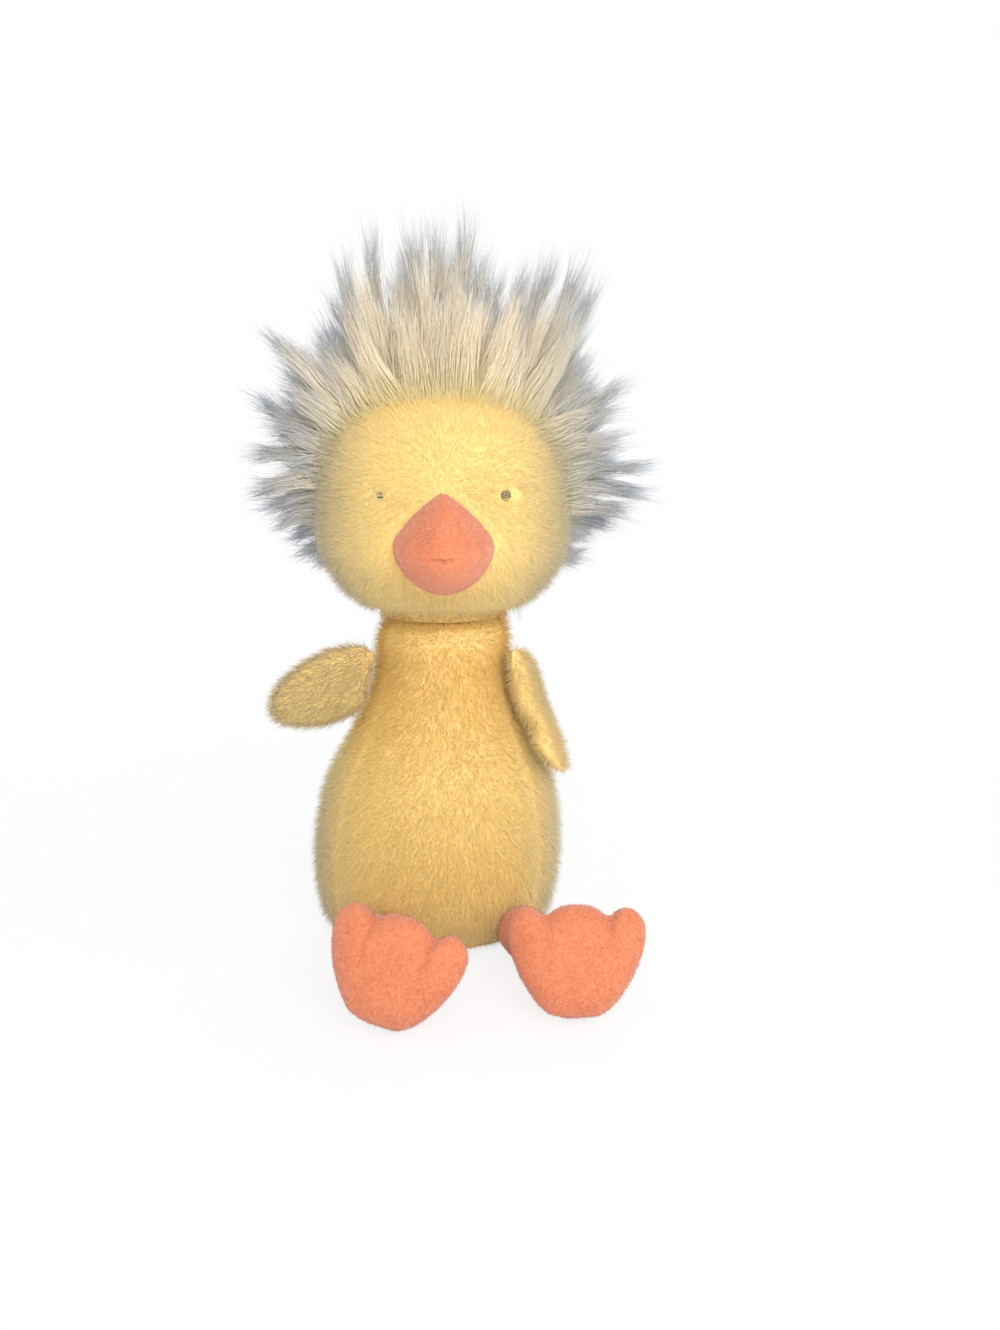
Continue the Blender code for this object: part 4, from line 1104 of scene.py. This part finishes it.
eyes = {
    "spacing": 0.0530, "above": 0.0045, "radius": 0.0031, "parted": 0.0031, "cuts": 3,
    "back": 0.5, "rows": 12, "columns": 28, "from": -25, "sweep": 115,
    "dark": (0.006, 0.005, 0.005, 1), "pale": (0.020, 0.014, 0.012, 1), "cloudScale": 900.0,
    "cloudDetail": 2.0, "roughness": 0.10, "roughSpread": 0.08, "coat": 0.4,
    "left": {"depth": 0.0075, "parting": (0.0007, 0.0016), "tilt": 12.0, "least": 0.0},
    "right": {"depth": 0.0080, "parting": (0.0007, 0.0010), "tilt": 0.0, "least": 0.55},
}


def crownDistance(point):  # degrees inside the hairline
    way = (point - headCenter).normalized()
    return head["crownReach"] - math.degrees(way.angle(crownAxis))


def eyePlace(side):
    across = side * eyes["spacing"] / 2
    front = headFront(across, eyes["above"])
    power = head["fullness"] - 1
    outward = Vector((
        side * (abs(across) / head["half"][0]) ** power / head["half"][0],
        -((-front / head["half"][1]) ** power) / head["half"][1],
        (eyes["above"] / head["half"][2]) ** power / head["half"][2]))
    return headCenter + Vector((across, front, eyes["above"])), outward.normalized()


def eyeWay(point, side):  # across and up from an eye, seen from the front; long for a point on the back
    away = point - eyePlace(side)[0]
    return Vector((away.x, 0, away.z)) if point.y < 0 else Vector((1, 0, 1))


def refineAtEyes(cover):  # finer faces, so that the parting round each eye can be narrow
    bm = bmesh.new()
    bm.from_mesh(cover.data)
    near = set()
    for vert in bm.verts:
        if min(eyeWay(vert.co, side).length for side in (-1, 1)) < eyes["parted"] * 2:
            near.add(vert)
    edges = [edge for edge in bm.edges if edge.verts[0] in near and edge.verts[1] in near]
    bmesh.ops.subdivide_edges(bm, edges=edges, cuts=eyes["cuts"], use_grid_fill=True)
    bm.to_mesh(cover.data)
    bm.free()
    cover.data.shade_smooth()


def beakEdge(point):  # below 1 inside the beak's outline on the face
    across = abs(point.x - headCenter.x) / beak["halfWidth"]
    above = point.z - headCenter.z + beak["below"]
    high = abs(above) / (beak["upper"] if above > 0 else beak["lower"])
    power = 2 / (beak["upperPoint"] if above > 0 else beak["lowerPoint"])
    return (across**power + high**power) ** (1 / power)


def faceGrowth(point, normal):  # none under the beak and in the neck's socket, less round the eyes
    rule = faceRule
    grown = 1.0
    if point.y < 0:
        edge = beakEdge(point)
        around = rule["beakGrowth"] + (1 - rule["beakGrowth"]) * ease(edge, *rule["beakFade"])
        grown *= around if edge > rule["beakClear"] else 0.0
    for side, name in ((1, "left"), (-1, "right")):
        away = Matrix.Rotation(math.radians(eyes[name]["tilt"]), 3, "Y") @ eyeWay(point, side)
        width, height = eyes[name]["parting"]
        apart = math.hypot(away.x / width, away.z / height)
        grown *= eyes[name]["least"] + (1 - eyes[name]["least"]) * ease(apart, *rule["eyeFade"])
    spoke = point - headPivot
    if spoke.length < head["neckRadius"] + head["socketRim"] and normal.dot(spoke) < 0:
        return 0.0
    inside = crownDistance(point)
    grown = grown * (1 + rule["rimGrowth"] * ease(inside, *rule["rimFade"]))
    grown = grown * (1 - rule["hairlineThinning"] * ease(inside, *rule["hairlineFade"]))
    return grown * (1 - rule["underThinning"] * ease(-normal.z, *rule["underFade"]))


def faceShade(point, normal):  # greyer at the sides and low down as painted shade, greyer at the hairline, and painted shade in the right eye's hollow
    rule = faceRule
    away = point - headCenter
    side = abs(away.x) / head["half"][0]
    eyeHollowShade = rule["eyeShade"] * math.exp(-(eyeWay(point, -1).length / rule["eyeReach"]) ** 2)
    rim = rule["rimShade"] * ease(crownDistance(point), *rule["rimShadeFade"])
    rim *= ease(side, *rule["rimSide"])
    shade = rule["shade"] + rule["sideShade"] * ease(side, *rule["sideFade"])
    return shade + rule["lowShade"] * ease(-away.z, *rule["lowFade"]) + eyeHollowShade + rim


def faceFlow(point, normal):
    middle = headCenter + Vector(faceRule["flowFrom"])
    way = ((point - middle) + Vector(faceRule["flowDrop"])).normalized()
    for side in (-1, 1):  # the pile leans over each eye from its sides, and parts above and below it
        away = eyeWay(point, side)
        near = faceRule["eyeLean"] * math.exp(-(away.length / eyes["parted"]) ** 4)
        way = way.lerp(Vector((-away.x, 0, away.z)).normalized(), near)
    return way * faceRule["flowLength"]  # long, so it stays whole on slopes


refineAtEyes(headCover)
paintCover(headCover, faceGrowth, faceShade, faceFlow)
headCover.data.materials.append(materials["crownBacking"])
for face in headCover.data.polygons:
    face.material_index = 1 if crownDistance(face.center) > 0 else 0
declare(headCover, "head", (
    "face_panel", "crown_fur_left", "crown_fur_right", "head_stuffing"))
declare(neckCover, "neck", ("neck_stuffing",))
neckTop = headPivot.z + neck["furred"]
neckFoot = headPivot.z + neck["gap"] + neck["footGap"]
paintCover(
    neckCover,
    lambda point, normal: 1.0 - neck["thinning"] * ease(point.z, neckTop - neck["fade"], neckTop),
    lambda point, normal: neck["shade"], down, bodyToneAndChinShade)
addFur("neckPile", neckCover, pileTree, neckPile, lambda spot: neckFoot < spot.z < neckTop,
       "yellowPile", "neck")
for name, side in (("Left", 1), ("Right", -1)):
    addFur("facePile" + name, headCover, pileTree, facePile,
           lambda spot: crownDistance(spot) < faceRule["furTo"] and (spot.x >= headCenter.x) == (side > 0),
           "paleYellowPile", "head")

crown = {
    "locks": 520, "seed": 4, "backLength": 0.042, "napeLength": 0.025, "apart": 0.0028, "tuftApart": 0.0048,
    "rise": 0.3, "tuftSpread": 0.0040, "tipSpread": 0.0055, "bowSpread": 0.010, "looseHold": 0.68,
    "frontHold": 0.45, "frontFade": (0.1, 0.5), "split": 0.0205, "backFrom": 0.024, "backDensity": 0.42,
    "evenDensity": 0.7, "crestLeast": 0.04, "crestCut": 0.10, "crestHalf": 0.14, "crestSweep": 1.25,
    "flatLeast": 0.2, "turn": 2.399963, "turnSpread": 0.25, "waySpread": 0.05, "beyondRight": -6,
    "beyondLeft": -4, "topFade": (-0.35, 0.25), "skin": 0.054, "backRise": 0.4, "lift": 0.22,
    "lengthLeast": 0.68, "bow": 0.4, "tintSpread": 0.12, "holdSpread": (0.7, 1.3),
    "growthFade": (-9.0, 6.0), "underfurFrom": -5, "shade": 0.76, "frontFadeY": (-0.30, 0.30),
    "frontFadeZ": (0.0, 0.5), "sideFade": (0.30, 0.9), "sideKeep": 0.65,
    "tufts": (  # root bearing, tip bearing and tip distance in mm, seen from the front
        (183, 189, 74), (176, 184, 80), (170, 178, 84), (163, 168, 86), (157, 160, 80), (150, 152, 94),
        (144, 145, 84), (138, 137, 105), (130, 127, 88), (122, 119, 97), (117, 112, 113), (110, 104.5, 117),
        (104, 99, 108), (98, 96, 117), (91, 91, 118), (86, 85, 121), (80, 80, 108), (74, 76, 100),
        (68, 70, 106), (60, 66, 113), (54, 60, 118), (48, 55, 114), (44, 50, 98), (40, 43, 88),
        (36, 38, 86), (31, 31, 96), (26, 25, 84), (22, 17, 88), (16, 13, 80), (11, 8, 93),
        (5, -0.5, 92), (-2, -5, 84), (-8, -9, 77)),
}
crownHair = {
    "Density": 2.5e6, "Length Spread": 0.45, "Width": 0.00014, "Gather": 0.92, "Stray": 0.0055,
    "Wave": 0.010, "Sink": 0.0010, "Seed": 31,
}


def tuftAt(bearing):
    tufts = sorted(crown["tufts"])
    bearing = (bearing + 90) % 360 - 90
    if bearing <= tufts[0][0]:
        return tufts[0][1] + bearing - tufts[0][0], tufts[0][2] + crown["beyondRight"]
    for low, high in zip(tufts, tufts[1:]):
        if high[0] >= bearing:
            share = (bearing - low[0]) / (high[0] - low[0])
            return low[1] + (high[1] - low[1]) * share, low[2] + (high[2] - low[2]) * share
    return tufts[-1][1] + bearing - tufts[-1][0], tufts[-1][2] + crown["beyondLeft"]


def crestDepth(up):  # how far back the crest line of tufts runs, for a way that rises by up
    return max(crown["crestLeast"], (crown["crestCut"] - up * crownAxis.z) / crownAxis.y)


def seenWay(degrees):  # the way at a bearing, seen from the front
    return Vector((math.cos(math.radians(degrees)), 0, math.sin(math.radians(degrees))))


def scattered(chance, size):
    return Vector([chance.uniform(-size, size) for _ in range(3)])


# Each guide is a lock: first the tufts of the crest line, then locks in a spiral over the rest of the crown.
def makeGuides():
    chance = random.Random(crown["seed"])
    rows = []
    for rootBearing, tipBearing, reach in crown["tufts"]:
        way = seenWay(rootBearing)
        way.y = crestDepth(way.z)
        way.normalize()
        root = headPoint(way, head["inset"])
        end = headCenter + seenWay(tipBearing) * reach / 1000
        end.y = root.y * crown["crestSweep"] + chance.uniform(-1, 1) * crown["tuftSpread"]
        rows.append((root, end, crown["tuftApart"]))
    turn = crownAxis.to_track_quat("Z", "Y")
    total = crown["locks"]
    for i in range(total):
        height = 1 - (i + 0.5) / total * (1 - math.cos(math.radians(head["crownReach"])))
        around = i * crown["turn"] + chance.uniform(-crown["turnSpread"], crown["turnSpread"])
        way = turn @ onCircle(around, math.sqrt(1 - height * height), height)
        way = (way + scattered(chance, crown["waySpread"])).normalized()
        root = headPoint(way, head["inset"])
        if any((root - other).length < apart for other, tip, apart in rows):
            continue
        bearing = math.degrees(math.atan2(way.z, way.x))
        flat = math.hypot(way.x, way.z)
        tipBearing, reach = tuftAt(bearing)
        top = ease(way.z, *crown["topFade"])
        back = crown["backLength"] * top + crown["napeLength"] * (1 - top)
        length = back + (max(reach / 1000 - crown["skin"], 0.0) - back) * flat**2 * top
        depth = way.y * (crown["rise"] if way.y < 0 else 1 - crown["backRise"] * top)
        away = seenWay(tipBearing) * flat + Vector((0, depth, 0))
        away = (away + Vector((0, 0, crown["lift"] * top * (1 - flat**3)))).normalized()
        end = root + away * length * chance.uniform(crown["lengthLeast"], 1.0)
        end += scattered(chance, crown["tipSpread"])
        rows.append((root, end, crown["apart"]))
    mesh = bpy.data.meshes.new("crownGuides")
    mesh.from_pydata([root for root, end, apart in rows], [], [])
    reach, sweep, tint, hold = newLayers(mesh, (
        ("reach", "FLOAT_VECTOR"), ("sweep", "FLOAT_VECTOR"), ("tint", "FLOAT"), ("hold", "FLOAT")))
    for i, (root, end, apart) in enumerate(rows):
        out = (root - headCenter).normalized()
        span = end - root
        reach.data[i].vector = span
        bow = (out * span.length - span) * crown["bow"]
        sweep.data[i].vector = bow + scattered(chance, crown["bowSpread"])
        tint.data[i].value = chance.uniform(-crown["tintSpread"], crown["tintSpread"])
        front = ease(-out.y, *crown["frontFade"])
        loose = crown["looseHold"] + (crown["frontHold"] - crown["looseHold"]) * front
        isTuft = apart == crown["tuftApart"]
        hold.data[i].value = 1.0 if isTuft else loose * chance.uniform(*crown["holdSpread"])
    guides = bpy.data.objects.new("crownGuides", mesh)
    scene.collection.objects.link(guides)
    return guides


def crownGrowth(point, normal):  # densest along the crest line of tufts
    way = (point - headCenter).normalized()
    flat = max(math.hypot(way.x, way.z), crown["flatLeast"])
    crest = math.exp(-((way.y / flat - crestDepth(way.z / flat)) / crown["crestHalf"]) ** 2)
    return ease(crownDistance(point), *crown["growthFade"]) * (crown["evenDensity"] + crest)


def crownShade(point, normal):  # ivory in front, blue grey at the sides and behind, the blue grey partly painted shade
    way = (point - headCenter).normalized()
    front = ease(-way.y, *crown["frontFadeY"]) * ease(way.z, *crown["frontFadeZ"])
    side = ease(abs(way.x), *crown["sideFade"])
    return crown["shade"] - crown["shade"] * front * (1 - crown["sideKeep"] * side)


crownCover = headCover.copy()
crownCover.data = headCover.data.copy()
for name, kind in painted:
    crownCover.data.attributes.remove(crownCover.data.attributes[name])
paintCover(crownCover, crownGrowth, crownShade, lambda point, normal: Vector((0, 0, 1)))
guides = makeGuides()
crownHair["Guides"] = guides
addFur("crownUnderfur", crownCover, pileTree, underfurPile,
       lambda spot: crownDistance(spot) > crown["underfurFrom"], "ivoryLongPile", "head")


def acrossCrown(spot):
    return spot.x - headCenter.x


for name, share, within in (
        ("crownHairLeft", 1.0, lambda spot: acrossCrown(spot) >= crown["split"]),
        ("crownHairTop", 1.0, lambda spot: abs(acrossCrown(spot)) < crown["split"]),
        ("crownHairRight", 1.0, lambda spot: acrossCrown(spot) <= -crown["split"]),
        ("crownHairBackLeft", crown["backDensity"], lambda spot: acrossCrown(spot) >= 0),
        ("crownHairBackRight", crown["backDensity"], lambda spot: acrossCrown(spot) < 0)):
    values = dict(crownHair, Density=crownHair["Density"] * share)
    behind = "Back" in name
    addFur(name, crownCover, hairTree, values,
           lambda spot: crownDistance(spot) > crown["growthFade"][0]
           and (spot.y >= crown["backFrom"]) == behind and within(spot),
           "ivoryLongPile", "head")
bpy.data.objects.remove(crownCover)
bpy.data.objects.remove(guides)
print("head done")

# The beak and the eyes
coralFuzz = dict(bodyPile, **{
    "Density": 1.5e6, "Length": 0.0011, "Length Spread": 0.5, "Width": 0.00011, "Lean": 0.3, "Curl": 0.2,
    "Tangle": 1.6, "Patch Size": 0.0016, "Stray": 0.5, "Shade Spread": 1.2, "Sink": 0.0001, "Seed": 41})


def evenGrowth(point, normal):
    return 1.0


def evenShade(point, normal):
    return 0.5


def beakHighlightShade(point, normal):  # palest on the lower half, a painted highlight; greyer above
    below = headCenter.z - beak["below"] - point.z
    return beak["shade"] - beak["shade"] * ease(below, -beak["shadeFade"], beak["shadeFade"])


beakCover = makeBeakCover()
paintCover(beakCover, evenGrowth, beakHighlightShade, down)
declare(beakCover, "head", (
    "beak_upper_panel", "beak_lower_panel", "beak_stuffing"))
addFur("beakFuzz", beakCover, pileTree, coralFuzz, lambda spot: spot.y < beak["furFrom"],
       "beakFuzz", "head")


def beadMaterial():
    material, net = newMaterial("eyeBead")
    place = net.add("ShaderNodeTexCoord").of("Object")
    cloud = net.add("ShaderNodeTexNoise", {}, {
        "Vector": place, "Scale": eyes["cloudScale"], "Detail": eyes["cloudDetail"]})
    color = net.mixColor(cloud, eyes["dark"], eyes["pale"])
    rough = cloud * eyes["roughSpread"] + eyes["roughness"]
    finishMaterial(net, color, None, rough, Coat_Weight=eyes["coat"])
    return material


eyeMaterial = beadMaterial()
for name, side in (("Left", 1), ("Right", -1)):
    place, outward = eyePlace(side)
    profile = [(-eyes["radius"] * eyes["back"], 0.0)]
    for k in range(eyes["rows"] + 1):
        angle = math.radians(eyes["from"] + eyes["sweep"] * k / eyes["rows"])
        width = 0.0 if k == eyes["rows"] else eyes["radius"] * math.cos(angle)
        profile.append((eyes["radius"] * math.sin(angle), width))
    rings = turnedRings(profile, place - outward * eyes[name.lower()]["depth"], outward, eyes["columns"])
    bead = newObject("eyeBead" + name, skinRings(rings), eyeMaterial)
    declare(bead, "head", ("eye_" + name.lower(),))
    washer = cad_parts["eye_washer_" + name.lower()]
    washer.data.materials.clear()
    washer.data.materials.append(materials["washerPlastic"])
print("beak and eyes done")

# The wings
wingPile = dict(bodyPile, **{
    "Length": 0.0060, "Seed": 51, "Density": 2.2e6, "Lean": 1.3, "Stray": 0.4, "Tangle": 0.2, "Curl": 0.1,
    "Length Spread": 0.35})
for name in ("left", "right"):
    look = wing[name]
    cover, place = makeWingCover(f"wing{name.title()}Cover", look)
    stuff(cover, wing["voxel"], wing["cap"])
    outward = place.to_3x3() @ Vector(wing["nap"])
    paintCover(cover, evenGrowth, lambda point, normal: look["shade"], lambda point, normal: outward)
    declare(cover, "wing_" + name,
            [f"wing_{name}_{part}" for part in ("outer_panel", "inner_panel", "stuffing")])
    wingPile["Seed"] += 1
    addFur(f"wing{name.title()}Pile", cover, pileTree, wingPile, everywhere,
           "greyedYellowPile", "wing_" + name)
print("wings done")

# The legs and the feet
for name in ("left", "right"):
    look = foot[name]
    turn = footTurn(look["outward"], look["lean"], look["roll"])
    cover, ankle = makeLegCover(name, turn)
    paintCover(cover, evenGrowth, evenShade, lambda point, normal: Vector((0, -1, 0)))
    declare(cover, "leg_" + name, (
        f"leg_{name}_sleeve", f"leg_{name}_stuffing"))
    coralFuzz["Seed"] += 1
    addFur(f"leg{name.title()}Fuzz", cover, pileTree, dict(coralFuzz, Density=leg["fuzzDensity"]),
           everywhere, "coralFuzz", "leg_" + name)
    cover = makeFootCover(f"foot{name.title()}Cover", ankle, turn)
    paintCover(cover, evenGrowth, evenShade, down)
    declare(cover, "foot_" + name,
            [f"foot_{name}_{part}" for part in ("sole_panel", "top_panel", "stuffing")])
    addFur(f"foot{name.title()}Fuzz", cover, pileTree, coralFuzz,
           everywhere, "coralFuzz", "foot_" + name)
print("legs and feet done")

# Floor, light and camera
stage = {
    "floorSize": 6.0, "floorColor": (0.92, 0.92, 0.92), "nearGlow": 0.82, "fadeFrom": 0.12, "fadeTo": 0.42,
    "world": 0.68,
}


def makeFloor():
    material, net = newMaterial("paleFloor")
    matte = net.add("ShaderNodeBsdfDiffuse", {}, {"Color": (*stage["floorColor"], 1)})
    glow = net.add("ShaderNodeEmission", {}, {"Color": (1, 1, 1, 1), "Strength": 1.0})
    place = net.add("ShaderNodeTexCoord").of("Object")
    away = net.vector("LENGTH", place).of("Value")
    fade = ((away - stage["fadeFrom"]) * (1 / (stage["fadeTo"] - stage["fadeFrom"]))).clamped()
    seen = net.add("ShaderNodeLightPath").of("Is Camera Ray")
    share = seen * (fade * (1 - stage["nearGlow"]) + stage["nearGlow"])
    mixed = net.add("ShaderNodeMixShader", {}, {0: share, 1: matte, 2: glow})
    net.add("ShaderNodeOutputMaterial", {}, {"Surface": mixed})
    bm = bmesh.new()
    half = stage["floorSize"] / 2
    corners = ((-half, -half), (half, -half), (half, half), (-half, half))
    bm.faces.new([bm.verts.new((x, y, 0)) for x, y in corners])
    mesh = bpy.data.meshes.new("floor")
    bm.to_mesh(mesh)
    bm.free()
    mesh.materials.append(material)
    floor = bpy.data.objects.new("floor", mesh)
    scene.collection.objects.link(floor)


def makeWorld():
    world = bpy.data.worlds.new("studio")
    world.use_nodes = True
    world.node_tree.nodes.clear()
    net = Net(world.node_tree)
    rays = net.add("ShaderNodeLightPath")
    seen = rays.of("Is Camera Ray").calc("MAXIMUM", rays.of("Is Glossy Ray"))
    strength = seen * (1.0 - stage["world"]) + stage["world"]
    light = net.add("ShaderNodeBackground", {}, {"Color": (1, 1, 1, 1), "Strength": strength})
    net.add("ShaderNodeOutputWorld", {}, {"Surface": light})
    scene.world = world


lamps = (  # name, place, aimed at, size, power
    ("keyLamp", (0.16, -1.0, 0.64), (0, 0, 0.15), 0.6, 8.7),
    ("fillLamp", (0.9, -0.5, 0.45), (0, 0, 0.12), 0.8, 1.2),
    ("backLamp", (0.2, 0.9, 0.8), (0, 0, 0.15), 0.7, 3.0),
)


def makeLights():
    for name, place, target, size, power in lamps:
        light = bpy.data.lights.new(name, "AREA")
        light.size = size
        light.energy = power
        lamp = bpy.data.objects.new(name, light)
        scene.collection.objects.link(lamp)
        lamp.location = place
        lamp.rotation_euler = (Vector(target) - Vector(place)).to_track_quat("-Z", "Y").to_euler()


view = {
    "place": (0.0042, -0.620, 0.240), "pitchDown": 11.16, "yawRight": 2.25, "lens": 39.95, "sensor": 36.0,
    "clipStart": 0.01,
}


def makeCamera():
    camera = bpy.data.objects.new("camera", bpy.data.cameras.new("camera"))
    scene.collection.objects.link(camera)
    camera.location = view["place"]
    camera.rotation_euler = (math.radians(90 - view["pitchDown"]), 0, math.radians(-view["yawRight"]))
    camera.data.lens = view["lens"]
    camera.data.sensor_width = view["sensor"]
    camera.data.sensor_fit = "AUTO"
    camera.data.clip_start = view["clipStart"]
    scene.camera = camera


makeFloor()
makeWorld()
makeLights()
makeCamera()
scene.view_settings.view_transform = "Standard"
print("stage, light and camera done")
